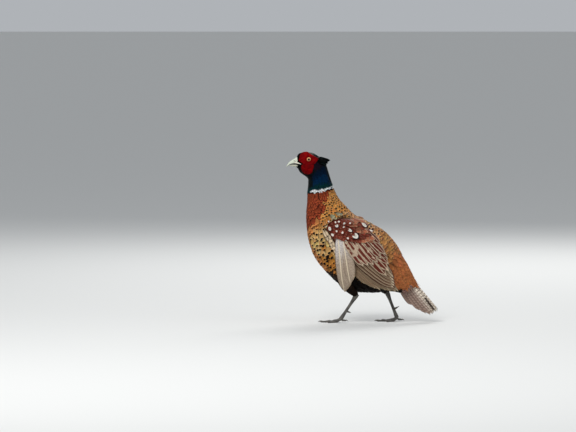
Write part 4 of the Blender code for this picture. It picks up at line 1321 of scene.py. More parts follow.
def front_edge(side):
    """Small pale feathers down the front of the folded wing."""
    line = ((-80, 198), (-68, 182), (-52, 152))
    roots, tips = [], []
    for column in range(2):
        for k in range(7):
            place = bend(*line, k / 6) + np.array((4.0, 1.6)) * column
            way = bend(*line, k / 6 + 0.05) - bend(*line, k / 6)
            way = way / np.linalg.norm(way)
            roots.append(place - way * 8 + rng.normal(0, 1.0, 2))
            tips.append(place + way * 13 + rng.normal(0, 1.0, 2))
    names = ["front"] * len(roots)
    return side_view_feathers(side, np.array(roots), np.array(tips), 3.8, (1.0, 6.2, 0.8),
                              band_looks(names, 0.22), 0.3)


def shoulder_edge(side):
    """Golden mantle feathers that overlap the upper border of the maroon ones."""
    line = ((-79, 212), (-62, 240), (-22, 235))
    roots, tips = [], []
    for row in range(2):
        for k in range(13):
            place = bend(*line, (k + 0.5 * row) / 13) + rng.normal(0, 1.0, 2) - (0, 3.5 * row)
            slope = mix(-1.2, -0.75, k / 13) + rng.normal(0, 0.08)
            way = np.array((math.cos(slope), math.sin(slope)))
            roots.append(place - way * 9)
            tips.append(place + way * 4)
    kind = np.full(len(roots), KIND_NAMES.index("mantle"))
    kind[rng.uniform(0, 1, len(kind)) < 0.3] = KIND_NAMES.index("back")
    kind[rng.uniform(0, 1, len(kind)) < 0.13] = KIND_NAMES.index("silver")
    return side_view_feathers(side, np.array(roots), np.array(tips), 4.4, (3.0, 11.4, 0.8),
                              look_arrays(kind, 0.12), 0.2)


# %% Lay both wings
def lens(surface_side, centre, half_long, half_high, turn, depth, height, rings=8, sides=40):
    """Points and faces of a closed lens on the flank, for the flesh of the wing."""
    turn = math.radians(turn)
    long_way = np.array((math.cos(turn), math.sin(turn))) * half_long
    high_way = np.array((-math.sin(turn), math.cos(turn))) * half_high
    angles = turns_round(sides)
    rows = []
    for share, thick in ([(r / rings, height) for r in range(rings)]
                         + [((rings - r) / rings, -depth) for r in range(rings)]):
        share = max(share, 0.02)
        ring = np.asarray(centre) + share * (np.outer(np.cos(angles), long_way)
                                             + np.outer(np.sin(angles), high_way))
        rows.append(flank(ring, surface_side, thick * math.sqrt(1 - share**2))[0])
    return loft(np.concatenate(rows), len(rows), sides)


ARM = ((-22.0, 190.0), 48.0, 32.0, -22.0, 14.0, 5.0)
HAND = ((-27.0, 150.0), 32.0, 16.0, -44.0, 10.0, 2.4)
WING_FLESH = Finish("wing_flesh", Roughness=0.8, Specular_IOR_Level=0.1)
WING_FLESH.link(WING_FLESH.blend(WING_FLESH.noise(WING_FLESH.object_place(), 300.0),
                                 rgb(0.1, 0.03, 0.02), rgb(0.2, 0.09, 0.05)), "Base Color")


def make_wing(side):
    surface = flank_guide(side)
    flight_vane = make_vane("flight_vane", FLIGHT_OUTLINE, 7, 0.06, 0.012, -side)
    hanging_vane = make_vane("hanging_vane", FLIGHT_OUTLINE, 9, 0.06, 0.012, -side, 0.42)
    broad_vane = make_vane("broad_vane", ROUND_OUTLINE, 5, 0.12, 0.02, -side)
    flesh = mesh_of(sided("wing_flesh", side), *joined([lens(side, *ARM), lens(side, *HAND)]))
    finish_with(flesh, WING_FLESH, "wing_feathers", sided("wing", side))
    for tier in WING_TIERS:
        roots, tips, half_widths = spread_tier(tier)
        looks = band_looks([tier.kind] * tier.count)
        laid = side_view_feathers(side, roots, tips, half_widths, (*tier.lifts, tier.camber),
                                  looks)
        vane = hanging_vane if tier.kind == "pale" else flight_vane
        finish = {"pale": PALE, "tertial": COVERT, "covert": COVERT}.get(tier.kind, FLIGHT)
        dress(lay_feathers(sided(tier.name, side), laid, vane, surface, finish, patch=None),
              "wing_feathers")
    for name, laid, finish, slot in (
            ("scapulars", scapulars(side), SCAPULAR, "wing_feathers"),
            ("oval_feathers", oval_feathers(side), OVAL, "wing_feathers"),
            ("wing_front", front_edge(side), FLIGHT, "wing_feathers"),
            ("shoulder_edge", shoulder_edge(side), PLUMAGE, "breast_feathers")):
        dress(lay_feathers(sided(name, side), laid, broad_vane, surface, finish, patch=None), slot)
    for helper in (surface, flight_vane, hanging_vane, broad_vane):
        bpy.data.objects.remove(helper)


for side in (LEFT, RIGHT):
    make_wing(side)

# %% [markdown]
# ## The worn tail
# The tail is a roof: the middle pair of feathers lies on top and each pair further out
# lies a layer lower. A place on it is a distance down the ridge and a distance round
# it. The feathers are barred, and their ends are short and frayed from wear.

# %% Tail feathers
TAIL_START = np.array((97.9, 0.0, 117.5))
TAIL_SLOPE = math.radians(-49.4)
TAIL_ALONG = np.array((math.cos(TAIL_SLOPE), 0, math.sin(TAIL_SLOPE)))
TAIL_UP = np.array((-math.sin(TAIL_SLOPE), 0, math.cos(TAIL_SLOPE)))
ROOF_RADIUS = 20.0
TAIL_REACH = (124.0, 125.5, 123.0, 124.0, 119.0, 104.0, 76.0)
TAIL_PAIRS = 9
TAIL_ROOT = 30.0
TAIL_ROOT_SPREAD = (2.0, 45.0)
TAIL_TIP_SPREAD = (4.0, 51.0)
TAIL_HALF_WIDTH = 8.0
TAIL_LIFTS = (-1.0, -11.0)
TAIL_BARS = 12.0


def roof(down, around, lift=0.0):
    """Points over the tail's ridge and the way out there."""
    turn = np.clip(around / ROOF_RADIUS, -math.pi / 2, math.pi / 2)
    rest = np.abs(around) - np.abs(turn) * ROOF_RADIUS
    out = np.outer(np.sin(turn), (0, 1, 0)) + np.outer(np.cos(turn), TAIL_UP)
    points = (TAIL_START + np.outer(down, TAIL_ALONG) + out * (ROOF_RADIUS + lift)
              - np.outer(ROOF_RADIUS + rest, TAIL_UP))
    return points, out


def roof_guide():
    down, around = np.meshgrid(np.linspace(-20, 150, 60), np.linspace(-70, 70, 90))
    points, out = roof(down.ravel(), around.ravel())
    return guide("roof_guide", points, 90, 60, out)


def roof_feathers(down, around, half_width, lifts, looks):
    """Feathers from (root, tip) distances down and round the roof."""
    root, _ = roof(down[:, 0], around[:, 0])
    tip, _ = roof(down[:, 1], around[:, 1])
    _, out = roof(down.mean(axis=1), around.mean(axis=1))
    return feather_set(root, tip, out, half_width, lifts, looks, np.zeros((len(down), 2)))


def tail_finish():
    f = Finish("tail_feather", Roughness=0.62, Specular_IOR_Level=0.15)
    x, along, _ = f.split(f.add("ShaderNodeUVMap", {"uv_map": "vane"}))
    side = (x * 2 - 1).math("ABSOLUTE")
    wander = f.noise(f.object_place(), 260.0, 3.0) - 0.5
    colour = f.blend(f.step(side + wander * 0.5, 0.5, 0.95), f.colour("ground"), f.colour("rim"))
    phase, strength, _ = f.numbers("pattern")
    wave = ((along + side * 0.035 + wander * 0.06 + phase) * (TAIL_BARS * FULL_TURN)).math("SINE")
    bar = f.step(wave + wander * 0.8, 0.5, 0.88)
    halo = f.step(wave, 0.1, 0.7) * 0.25
    colour = f.blend(halo, colour, rgb(0.2, 0.08, 0.04))
    colour = f.blend(bar * f.step(side, 1.05, 0.6) * strength, colour, f.colour("mark"))
    mottle = f.step(f.noise(f.object_place(), 800.0, 4.0), 0.4, 0.7)
    colour = f.blend(mottle * 0.14, colour, rgb(0.1, 0.06, 0.05))
    colour = f.blend(f.step(side, 0.07, 0.03) * 0.7, colour, rgb(0.5, 0.4, 0.28))
    lines = barbs(f, side, along, 90.0)
    f.link(f.blend(lines * 0.14, colour, rgb(0.0, 0.0, 0.0)), "Base Color")
    f.bump(lines, 0.35, 0.0003)
    return f


def tail_feathers():
    down, around, lifts, half_widths = [], [], [], []
    for i in range(TAIL_PAIRS):
        share = i / (TAIL_PAIRS - 1)
        reach = np.interp(share * (len(TAIL_REACH) - 1), range(len(TAIL_REACH)), TAIL_REACH)
        for side in (RIGHT, LEFT):
            layer = share + (0.5 / TAIL_PAIRS if side == LEFT else 0.0)
            level = mix(*TAIL_LIFTS, layer)
            down.append((TAIL_ROOT, reach - rng.uniform(0, 3.0)))
            around.append((side * mix(*TAIL_ROOT_SPREAD, share), side * mix(*TAIL_TIP_SPREAD, share)))
            lifts.append((level, level, 0.5))
            half_widths.append(TAIL_HALF_WIDTH)
    pairs = len(down)
    # Two thin black strips stand in for the shadow in the gap beside the ridge pair.
    for side in (RIGHT, LEFT):
        down.append(SHADOW_STRIP_DOWN)
        around.append(tuple(side * place for place in SHADOW_STRIP_AROUND))
        lifts.append((0.2, 0.2, 0.1))
        half_widths.append(SHADOW_STRIP_HALF_WIDTH)
    names = ["ridge"] * RIDGE_FEATHERS + ["tail"] * (pairs - RIDGE_FEATHERS) + ["gap"] * 2
    looks = band_looks(names, 0.1)
    inner = np.arange(pairs) < RIDGE_FEATHERS
    looks["pattern"][:pairs, 0] = np.where(inner, 0.08, 1.0) * rng.uniform(0, BAR_STEP, pairs)
    looks["pattern"][:pairs, 1] = np.where(inner, 0.88, 0.5)
    outer = smooth(np.abs(np.array(around)[:pairs, 1]), 16, 36)[:, None]
    looks["ground"][:pairs, :3] = mix(looks["ground"][:pairs, :3], TAIL_OUTER, outer)
    return roof_feathers(np.array(down), np.array(around), np.array(half_widths), np.array(lifts),
                         looks)


TAIL_OUTER = (0.36, 0.25, 0.2)
RIDGE_FEATHERS = 6
BAR_STEP = 0.083
# thin black strips between the ridge pair and the next, towards the tip: a painted shadow in the gap
# between them
SHADOW_STRIP_DOWN = (82.0, 118.0)
SHADOW_STRIP_AROUND = (17.0, 19.5)
SHADOW_STRIP_HALF_WIDTH = 2.6
WORN_OUTLINE = tuple(zip((0.0, 0.12, 0.28, 0.45, 0.62, 0.78, 0.9, 0.97, 1.0),
                         (0.5, 0.8, 0.95, 1.0, 0.98, 0.9, 0.74, 0.56, 0.34)))
TAIL_FINISH = tail_finish()
roof_surface = roof_guide()
worn_vane = make_vane("worn_vane", WORN_OUTLINE, 9, 0.05, 0.03)
tail = lay_feathers("tail_feathers", tail_feathers(), worn_vane, roof_surface, TAIL_FINISH, patch=None)
dress(tail, "tail_feathers", "tail")

# %% Rufous coverts over the tail's root
COVERT_ROWS = 9
COVERT_COUNT = 14


def tail_coverts():
    down, around, lifts, half_widths = [], [], [], []
    for row in range(COVERT_ROWS):
        share = row / (COVERT_ROWS - 1)
        for k in range(COVERT_COUNT):
            place = mix(-46, 46, (k + 0.5 * (row % 2)) / COVERT_COUNT) + rng.normal(0, 1.0)
            start = mix(-4.0, 22.0, share) + rng.normal(0, 2.0)
            length = mix(28.0, 32.0, share) * (1 + rng.normal(0, 0.1))
            down.append((start, start + length))
            around.append((place * 0.9, place + rng.normal(0, 1.5)))
            lifts.append((-4.0, mix(4.0, 2.6, share) - abs(place) * 0.09, 0.5))
            half_widths.append(4.0)
    low = np.abs(np.array(around)[:, 1]) + rng.normal(0, 5.0, len(down)) > 27
    late = np.array(down)[:, 0] + rng.normal(0, 3.0, len(down)) > 12
    kind = np.where(low & late, KIND_NAMES.index("lilac"), KIND_NAMES.index("rump"))
    return roof_feathers(np.array(down), np.array(around), np.array(half_widths), np.array(lifts),
                         look_arrays(kind, 0.12))


coverts = lay_feathers("tail_coverts", tail_coverts(), silky_vane, roof_surface, PLUMAGE, patch=None)
dress(coverts, "rump_feathers")
for helper in (roof_surface, worn_vane):
    bpy.data.objects.remove(helper)

# %% [markdown]
# ## The bare red face
# The wattle is a swollen sheet of bare skin: a fold round the eye, a lobe on the cheek,
# and all of it covered in tiny soft papillae. It is made as a fan of rows from the middle
# of the face to its outline, laid on the head's own form and lifted by a relief, so that
# the swelling, the lids and the papillae are all real shape. The eye shows through an
# opening where the sheet sinks behind the eyeball.

# %% Outline of the face on the head's form
FACE_MIDDLE = (3.7, 1.62)
FACE_SCALE = (3.0, 1.5)
FACE_COLUMNS = 200
FACE_ROWS = 84
FACE_TOP = 0.13
FACE_SWELL = 2.0
EYE_RADIUS = 5.8
LID_AT = 5.35
PAPILLA = 1.25


def face_place(share, angle):
    """Place (s, turn) on the head for a share of the scale and an angle round the face."""
    return (FACE_MIDDLE[0] + FACE_SCALE[0] * share * np.cos(angle),
            FACE_MIDDLE[1] + FACE_SCALE[1] * share * np.sin(angle))


def face_outline(angle):
    """The largest share at each angle that is still inside the face, by halving."""
    low, high = np.zeros(len(angle)), np.ones(len(angle)) * 1.4
    for _ in range(18):
        share = (low + high) / 2
        s, turn = face_place(share, angle)
        points = body(s, turn)
        inside = ((face_distance(points[:, 0], points[:, 2]) < 0) & (turn > FACE_TOP)
                  & (turn < 2.7) & (s > 0.55))
        low, high = np.where(inside, share, low), np.where(inside, high, share)
    return low


def papillae(points):
    """Height of small soft bumps at points, from the distance to scattered centres."""
    heights = [1 - noise.voronoi(Vector(p) / PAPILLA)[0][0] * 1.35 for p in points]
    return np.clip(np.array(heights), 0, 1)


def folds(points):
    return np.array([noise.noise(Vector((p[0] * 0.16, p[1] * 0.16, p[2] * 0.3))) for p in points])


def face_relief(points, share):
    """How far the red skin stands over the head, for points on the head's form."""
    away = np.hypot(points[:, 0] - EYE[0], (points[:, 2] - EYE[2]) * 1.1)
    swell = FACE_SWELL * (1 - share**6) ** 0.5
    low_cheek = smooth(352 - points[:, 2], 0, 16)
    bumps = (0.42 + 0.16 * low_cheek) * papillae(points) + 0.7 * folds(points)
    bumps *= smooth(away, 6.2, 8.5) * smooth(1 - share, 0.0, 0.1)
    lid = 1.5 * np.exp(-((away - LID_AT - 0.5) / 0.75) ** 2)
    groove = 0.7 * np.exp(-((away - LID_AT - 2.4) / 0.6) ** 2)
    hole = 5.5 * smooth(LID_AT - away, 0.0, 1.2)
    return swell + bumps + lid - groove - hole


def make_face(side):
    angle = turns_round(FACE_COLUMNS)
    edge = face_outline(angle)
    rows = []
    for r in range(FACE_ROWS):
        share = max(r / (FACE_ROWS - 1), 0.004)
        s, turn = face_place(edge * share, angle)
        points = body(s, turn)
        out = outward(body, s, turn)
        rows.append(points + out * face_relief(points, share)[:, None])
    for share, depth in ((1.0, -1.2), (0.6, -6.5), (0.05, -6.5)):
        s, turn = face_place(edge * share, angle)
        rows.append(body(s, turn) + outward(body, s, turn) * depth)
    points, faces = loft(np.concatenate(rows), len(rows), FACE_COLUMNS)
    points = points * (1, side, 1)
    made = mesh_of(sided("wattle", side), points, faces)
    finish_with(made, WATTLE, "bare_face", sided("wattle", side))
    print(made.name, "faces:", len(faces))


# Heights, in metres, below which the red face darkens as painted shade.
CHEEK_SHADE = (0.378, 0.358)


def wattle_finish():
    """Deep crimson in a random mottle, with painted shade between the papillae and on the lower cheek."""
    f = Finish("wattle", Roughness=0.6, Specular_IOR_Level=0.03)
    place = f.object_place()
    fine = f.cells(place, 1500.0)
    shade = f.noise(place, 120.0, 3.0)
    colour = f.blend(f.step(shade, 0.35, 0.65), rgb(0.15, 0.0, 0.0005), rgb(0.29, 0.001, 0.001))
    _, _, height = f.split(place)
    # Painted shade: the lower cheek is darker.
    colour = f.blend(f.step(height, *CHEEK_SHADE) * 0.5, colour, rgb(0.06, 0.0, 0.001))
    # Painted shade: the hollows between the papillae are darkened.
    colour = f.blend(f.step(fine, 0.35, 0.8) * 0.55, colour, rgb(0.05, 0.0, 0.001))
    f.link(colour, "Base Color")
    f.bump(0.8 - fine, 0.35, 0.0003)
    return f


WATTLE = wattle_finish()
for side in (LEFT, RIGHT):
    make_face(side)

# %% [markdown]
# ## Eyes
# The eye is a wet ball, so it is a real ball with a slightly raised cornea. Pupil, pale
# inner ring, peach iris and dark rim are circles round the eye's own axis, which the
# material finds from object coordinates. A coat layer gives the wet highlight.

# %% Eyes
PUPIL = 0.0026
IRIS = 0.0048
CORNEA = 0.35


def eye_finish(side):
    f = Finish(sided("eye", side), Roughness=0.3, Specular_IOR_Level=0.06, Coat_Weight=0.03,
               Coat_Roughness=0.02)
    centre = (EYE * (1, side, 1) + SHIFT) * MM
    across, _, rise = f.split(f.vector("SUBTRACT", f.object_place(), tuple(centre)))
    away = (across ** 2 + rise ** 2) ** 0.5
    colour = f.blend(f.step(away, PUPIL, IRIS), rgb(0.76, 0.44, 0.21), rgb(0.6, 0.25, 0.1))
    fibres = f.noise(f.object_place(), 2500.0, 3.0)
    colour = f.blend(f.step(fibres, 0.4, 0.7) * 0.35, colour, rgb(0.4, 0.14, 0.05))
    colour = f.blend(f.step(away, IRIS - 0.0004, IRIS + 0.0002), colour, rgb(0.03, 0.004, 0.004))
    colour = f.blend(f.step(away, PUPIL + 0.00025, PUPIL - 0.0001), colour, rgb(0.002, 0.002, 0.002))
    f.link(colour, "Base Color")
    return f


def make_eye(side):
    rings, sides = 36, 64
    rows = []
    for i in range(rings + 1):
        polar = math.pi * (0.004 + 0.992 * i / rings)
        radius = EYE_RADIUS + CORNEA * math.exp(-((polar / 0.75) ** 4))
        around = turns_round(sides)
        ring = np.column_stack([radius * math.sin(polar) * np.cos(around),
                                np.full(sides, radius * math.cos(polar)),
                                radius * math.sin(polar) * np.sin(around)])
        rows.append((EYE + ring) * (1, side, 1))
    made = mesh_of(sided("eyeball", side), *loft(np.concatenate(rows), rings + 1, sides))
    finish_with(made, eye_finish(side), "eye_surface", sided("eye", side))


for side in (LEFT, RIGHT):
    make_eye(side)

# %% [markdown]
# ## Bill
# Two lofts, upper and lower, with the hook at the tip. The relief adds the soft lid over
# each nostril, the slit below it, the overhanging cutting edge and faint lines of growth.
# Painted shadow lies where the halves meet and in each nostril slit, and is kept as a vertex colour.

# %% Bill
UPPER_BILL = [
    Section((-134.3, 369.0), (-132.1, 351.7), 6.8),
    Section((-141.1, 367.2), (-138.4, 351.9), 6.4),
    Section((-147.4, 363.6), (-145.1, 351.7), 5.4),
    Section((-154.1, 359.3), (-151.2, 351.0), 4.3),
    Section((-159.3, 355.3), (-156.6, 349.9), 3.0),
    Section((-163.1, 350.1), (-161.1, 347.6), 1.6),
    Section((-165.6, 345.4), (-164.9, 344.4), 0.6),
]
LOWER_BILL = [
    Section((-132.1, 351.2), (-133.9, 344.5), 6.4),
    Section((-140.6, 351.4), (-141.8, 344.7), 5.4),
    Section((-148.5, 351.0), (-149.9, 345.6), 4.1),
    Section((-154.6, 350.0), (-155.7, 346.5), 2.7),
    Section((-158.2, 348.9), (-158.7, 347.3), 1.2),
]
NOSTRIL = np.array((-146.4, 358.2))
HORN_PALE = np.array((0.62, 0.66, 0.54))
HORN_GREY = np.array((0.36, 0.4, 0.33))
BILL_PAINTED_SHADOW = np.array((0.06, 0.055, 0.045))
GAPE_PALE = (0.72, 0.68, 0.56)
GAPE = ((-147.5, 4.6, 355.2), (-140.0, 7.6, 354.2), (-132.4, 12.6, 351.0))
BILL_ROWS = 110
BILL_SIDES = 72


def bill_half(name, sections, upper, *nodes):
    table = table_of(sections)
    s = np.repeat(np.linspace(0, len(sections) - 1, BILL_ROWS), BILL_SIDES)
    turn = np.tile(turns_round(BILL_SIDES), BILL_ROWS)

    def surface(s, turn, grow=0.0):
        return form(table, s, turn, grow)

    points = surface(s, turn)
    out = outward(surface, np.clip(s, 0.05, len(sections) - 1.05), turn)
    grow = 0.05 * np.sin(s * 21 + 1.5 * np.cos(turn))
    slope = math.radians(-30)
    u = (points[:, 0] - NOSTRIL[0]) * math.cos(slope) + (points[:, 2] - NOSTRIL[1]) * math.sin(slope)
    v = -(points[:, 0] - NOSTRIL[0]) * math.sin(slope) + (points[:, 2] - NOSTRIL[1]) * math.cos(slope)
    flank_side = smooth(np.abs(np.sin(turn)), 0.3, 0.6)
    pit = np.exp(-((u / 2.4) ** 2 + ((v + 0.2) / 0.75) ** 2)) * flank_side * upper
    lid = np.exp(-(((u - 0.6) / 3.4) ** 2 + ((v - 1.7) / 1.3) ** 2)) * flank_side * upper
    edge = smooth(np.abs(turn - math.pi), 1.15, 0.75) * smooth(np.abs(turn - math.pi), 0.35, 0.7)
    grow += 0.55 * lid - 1.3 * pit + (0.35 * edge if upper else 0.0)
    # rim: the edge where the two halves meet, which gets a painted shadow
    rim = smooth(np.abs(turn - math.pi), 0.95, 0.7) if upper else smooth(np.minimum(
        turn, 2 * math.pi - turn), 1.35, 1.0)
    horn = mix(HORN_PALE, HORN_GREY, smooth(1.6 - s, 0, 1.6)[:, None])
    horn = mix(horn, HORN_GREY * (1.0, 0.85, 0.75), 0.0 if upper else 0.6)
    horn = mix(horn, BILL_PAINTED_SHADOW, (0.92 * rim)[:, None])
    # Painted shadow in the nostril slit.
    horn = mix(horn, BILL_PAINTED_SHADOW, (0.9 * np.clip(pit * 1.4, 0, 1))[:, None])
    points = points + out * grow[:, None]
    made = mesh_of(name, *loft(points, BILL_ROWS, BILL_SIDES))
    set_attribute(made.data, "horn", "FLOAT_COLOR", np.column_stack([horn, np.ones(len(horn))]))
    finish_with(made, BILL, "bill_horn", *nodes)


def bill_finish():
    f = Finish("bill", Roughness=0.42, Specular_IOR_Level=0.3)
    grain = f.noise(f.vector("MULTIPLY", f.object_place(), (300.0, 1500.0, 900.0)), 1.0, 3.0)
    colour = f.blend(f.step(grain, 0.45, 0.75) * 0.35, f.colour("horn"), rgb(0.3, 0.29, 0.22))
    f.link(colour, "Base Color")
    f.bump(grain, 0.2, 0.0002)
    return f


def make_gape(side):
    """The pale corner of the mouth, which runs back along the side of the face."""
    share = np.linspace(0, 1, 16)
    path = np.array([bend(*GAPE, t) for t in share]) * (1, side, 1)
    radii = np.interp(share, (0, 0.15, 0.6, 1), (0.8, 2.0, 1.5, 0.35))
    points, faces = swept(path, radii, 16)
    made = mesh_of(sided("gape", side), points, faces)
    set_attribute(made.data, "horn", "FLOAT_COLOR", np.tile((*GAPE_PALE, 1.0), (len(points), 1)))
    finish_with(made, BILL, "bill_horn")


BILL = bill_finish()
bill_half("bill_horn_upper", UPPER_BILL, 1, "bill_upper")
bill_half("bill_horn_lower", LOWER_BILL, 0, "bill_lower")
for side in (LEFT, RIGHT):
    make_gape(side)

# %% [markdown]
# ## Ear tufts
# Behind each eye stands a small brush of stiff feathers, cut off slantwise. They are
# free of the skin, so the tree lays them with no cling, each a narrow glossy blade.

# %% Ear tufts
TUFT_ROOT = np.array((-91.0, 13.0, 360.6))
TUFT_COUNT = 70
TUFT_LENGTHS = (19.0, 16.0)
TUFT_HEIGHTS = (5.2, -4.8)
TUFT_SLOPES = (-21.0, -27.0)
TUFT_OUTLINE = ((0.0, 0.5), (0.3, 0.85), (0.65, 1.0), (0.88, 0.85), (1.0, 0.35))


def tuft_feathers(side):
    t = rng.permutation(TUFT_COUNT) / (TUFT_COUNT - 1)
    drop = np.radians(mix(*TUFT_SLOPES, t) + rng.normal(0, 3.0, TUFT_COUNT))
    splay = rng.uniform(0.02, 0.3, TUFT_COUNT)
    way = np.column_stack([np.cos(drop), splay, np.sin(drop)])
    way /= np.linalg.norm(way, axis=1)[:, None]
    spread = rng.normal(0, 1.0, (TUFT_COUNT, 3)) * (2.2, 1.2, 0.8)
    root = TUFT_ROOT + spread + np.outer(mix(*TUFT_HEIGHTS, t), (0, 0, 1)) - np.outer(t, (1, 0, 0))
    length = mix(*TUFT_LENGTHS, t) * (1 + rng.normal(0, 0.05, TUFT_COUNT))
    tip = root + way * length[:, None]
    out = np.cross(way, np.cross((0, 1, 0), way))
    out += np.outer(rng.normal(0, 0.35, TUFT_COUNT), (0, 0, 1))
    out /= np.linalg.norm(out, axis=1)[:, None]
    kind = np.where(rng.uniform(0, 1, TUFT_COUNT) < 0.6, KIND_NAMES.index("black"),
                    KIND_NAMES.index("hood"))
    flip = (1, side, 1)
    return feather_set(root * flip, tip * flip, out * flip, 1.9, (0.0, 0.0, 0.4),
                       look_arrays(kind, 0.15), np.zeros((TUFT_COUNT, 2)))


CHIN_COUNT = 60
CHIN_FRONT = np.array((-145.0, 0.0, 347.4))
CHIN_REAR = np.array((-137.0, 0.0, 344.0))
CHIN_HALF_WIDTHS = (2.6, 6.0)
CHIN_DROPS = (46.0, 62.0)


def chin_feathers():
    """The short black feathers that reach forward under the bill, between the jaws."""
    t = rng.uniform(0, 1, CHIN_COUNT)
    root = mix(CHIN_FRONT, CHIN_REAR, t[:, None])
    root[:, 1] = rng.uniform(-1, 1, CHIN_COUNT) * mix(*CHIN_HALF_WIDTHS, t)
    drop = np.radians(mix(*CHIN_DROPS, t) + rng.normal(0, 4.0, CHIN_COUNT))
    way = np.column_stack([np.cos(drop), 0.08 * root[:, 1], -np.sin(drop)])
    tip = root + way * rng.uniform(5.0, 7.0, (CHIN_COUNT, 1))
    out = np.column_stack([-np.sin(drop), 0.15 * root[:, 1], -np.cos(drop)])
    out /= np.linalg.norm(out, axis=1)[:, None]
    kind = np.full(CHIN_COUNT, KIND_NAMES.index("black"))
    return feather_set(root, tip, out, 1.5, (0.0, 0.0, 0.3), look_arrays(kind, 0.1),
                       np.zeros((CHIN_COUNT, 2)))


tuft_vane = make_vane("tuft_vane", TUFT_OUTLINE, 5, 0.1, 0.02)
dress(lay_feathers("chin_feathers", chin_feathers(), tuft_vane, skin, GLOSSY, 0.0, None), "neck_feathers")
for side in (LEFT, RIGHT):
    dress(lay_feathers(sided("tuft", side), tuft_feathers(side), tuft_vane, skin, GLOSSY, 0.0, None),
          "neck_feathers", sided("ear_tuft", side))
bpy.data.objects.remove(tuft_vane)

# %% [markdown]
# ## Scaly legs
# The shank and toes are bare and covered with plates: broad overlapping scutes down the
# front and along the top of each toe, and small round scales at the back. Each is a tube
# with the plates in its relief, so their edges catch the light.

# %% Feet
SHANK_RADII = (5.2, 5.4, 4.1, 3.5, 3.3, 3.3, 3.5, 4.2, 4.6)
FOOT_PAD_RADIUS = 5.2
Toe = namedtuple("Toe", "name turn length radius")
TOES = [
    Toe("middle", 4.0, 44.0, 3.3),
    Toe("inner", -34.0, 31.0, 3.0),
    Toe("outer", 38.0, 34.0, 3.0),
    Toe("hind", 196.0, 12.0, 2.4),
]
GROUND = -5.0
TOE_PRESS = 0.8
HIND_TOE_LIFT = 3.0
CLAW_LENGTH = 8.5
HIND_CLAW_SHARE = 0.7
SPUR_LENGTH = 12.0
SPUR_PLACE = 0.66
SCUTE_DEPTH = 0.3
FOOT_VOXEL = 0.45


def toe_path(leg, toe, steps=7):
    """Centre points, radii and heading of a toe, from the ball of the foot to its tip."""
    turned = math.radians(toe.turn + leg.turn * leg.side)
    ahead = np.array((-math.cos(turned), leg.side * math.sin(turned), 0))
    lift = HIND_TOE_LIFT if toe.name == "hind" else 0.0
    points, radii = [], []
    for t in np.linspace(0, 1, steps):
        radius = toe.radius * mix(1.05, 0.66, t) * (1 + 0.1 * math.cos(t * 6 * math.pi))
        level = GROUND + radius * TOE_PRESS + lift
        height = mix(leg.ball[2], level, min(1.0, t * 2.6) ** 0.8)
        points.append(np.array((leg.ball[0], leg.ball[1], height)) + ahead * toe.length * t)
        radii.append(radius)
    return np.array(points), np.array(radii), ahead


def plates(count, facing):
    """Overlapping plates round the side that faces up or forward, fine scales elsewhere."""
    def relief(share, turns):
        step = (share * count) % 1
        front = smooth(np.cos(turns - facing), -0.1, 0.35)
        broad = SCUTE_DEPTH * (step**3 - 0.4)
        small = 0.1 * np.sin(share * count * 2.6 * FULL_TURN) * np.sin(turns * 9)
        return front * broad + (1 - front) * small
    return relief


def make_foot(leg):
    ankle, root = np.array(leg.ankle), np.array(leg.ball)
    above = ankle + (ankle - root) / np.linalg.norm(ankle - root) * 3
    share = np.linspace(0, 1, 150)
    path = above + np.outer(share, root - above)
    radii = np.interp(share, np.linspace(0, 1, len(SHANK_RADII)), SHANK_RADII)
    pieces = [swept(path, radii, 40, relief=plates(17, 1.5 * math.pi), floor=GROUND)]
    for toe in TOES:
        points, radii, _ = toe_path(leg, toe, 110)
        count = max(5, round(toe.length / 2.8))
        pieces.append(swept(points, radii, 32, relief=plates(count, 0.5 * math.pi), floor=GROUND))
    made = mesh_of(sided("scaly_foot", leg.side), *joined(pieces))
    fuse(made, FOOT_VOXEL)
    bake_modifiers(made)
    made.data.materials.clear()
    made.data.shade_smooth()
    finish_with(made, LEG, "leg_scales", sided("foot", leg.side))
    print(made.name, "faces:", len(made.data.polygons))


def leg_finish():
    f = Finish("leg_scales", Roughness=0.55, Specular_IOR_Level=0.2)
    place = f.object_place()
    scales = f.cells(place, 900.0)
    tone = f.noise(place, 90.0, 3.0)
    colour = f.blend(f.step(tone, 0.35, 0.65), rgb(0.08, 0.075, 0.07), rgb(0.15, 0.14, 0.12))
    colour = f.blend(f.step(scales, 0.4, 0.75) * 0.5, colour, rgb(0.05, 0.045, 0.04))
    f.link(colour, "Base Color")
    f.bump(0.8 - scales, 0.3, 0.0003)
    return f


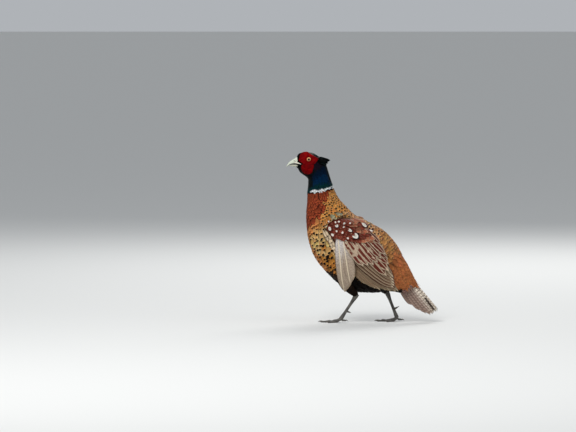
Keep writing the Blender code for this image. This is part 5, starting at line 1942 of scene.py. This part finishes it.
LEG = leg_finish()
for leg in LEGS:
    make_foot(leg)

# %% Claws and spurs
def horn_finish():
    f = Finish("claw_horn", Roughness=0.4, Specular_IOR_Level=0.3)
    grain = f.noise(f.object_place(), 500.0, 3.0)
    f.link(f.blend(grain, rgb(0.03, 0.027, 0.024), rgb(0.12, 0.1, 0.08)), "Base Color")
    f.bump(grain, 0.2, 0.0002)
    return f


def make_claw(leg, toe):
    """A short blunt claw that grows from the tip of its toe."""
    points, radii, ahead = toe_path(leg, toe)
    start, thick = points[-1], radii[-1]
    length = CLAW_LENGTH * (HIND_CLAW_SHARE if toe.name == "hind" else 1.0)
    path, widths = [], []
    for t in np.linspace(0, 1, 24):
        rise = thick * (0.2 + 0.45 * math.sin(t * 2.4)) - t * t * (start[2] - GROUND) * 0.8
        path.append(start + ahead * (length * t - 1.0) + np.array((0, 0, rise)))
        widths.append(thick * mix(0.86, 0.08, t**1.3))
    name = sided("claw", leg.side) + "_" + toe.name
    made = mesh_of("horn_" + name, *swept(path, widths, 24, floor=GROUND))
    finish_with(made, HORN, "claw_horn", name)


def make_spur(leg):
    """The horny spur at the back of the shank, curved a little upwards."""
    ankle, root = np.array(leg.ankle), np.array(leg.ball)
    shank = (root - ankle) / np.linalg.norm(root - ankle)
    back = np.array((1, -leg.side * 0.5, 0))
    out = back - shank * (back @ shank)
    out /= np.linalg.norm(out)
    base = ankle + (root - ankle) * SPUR_PLACE
    t = np.linspace(0, 1, 28)
    reach = 2.2 + (SPUR_LENGTH + 1.4) * t
    path = base + np.outer(reach, out) + np.outer(1.5 * t**2, (0, 0, 1))
    radii = np.interp(t, (0, 0.12, 0.4, 0.72, 1.0), (3.0, 2.4, 1.8, 1.1, 0.25))
    made = mesh_of(sided("horn_spur", leg.side), *swept(path, radii, 28))
    finish_with(made, HORN, "claw_horn", sided("spur", leg.side))


HORN = horn_finish()
for leg in LEGS:
    make_spur(leg)
    for toe in TOES:
        make_claw(leg, toe)

# %% The vanes were only patterns
for vane in VANES:
    bpy.data.objects.remove(vane)
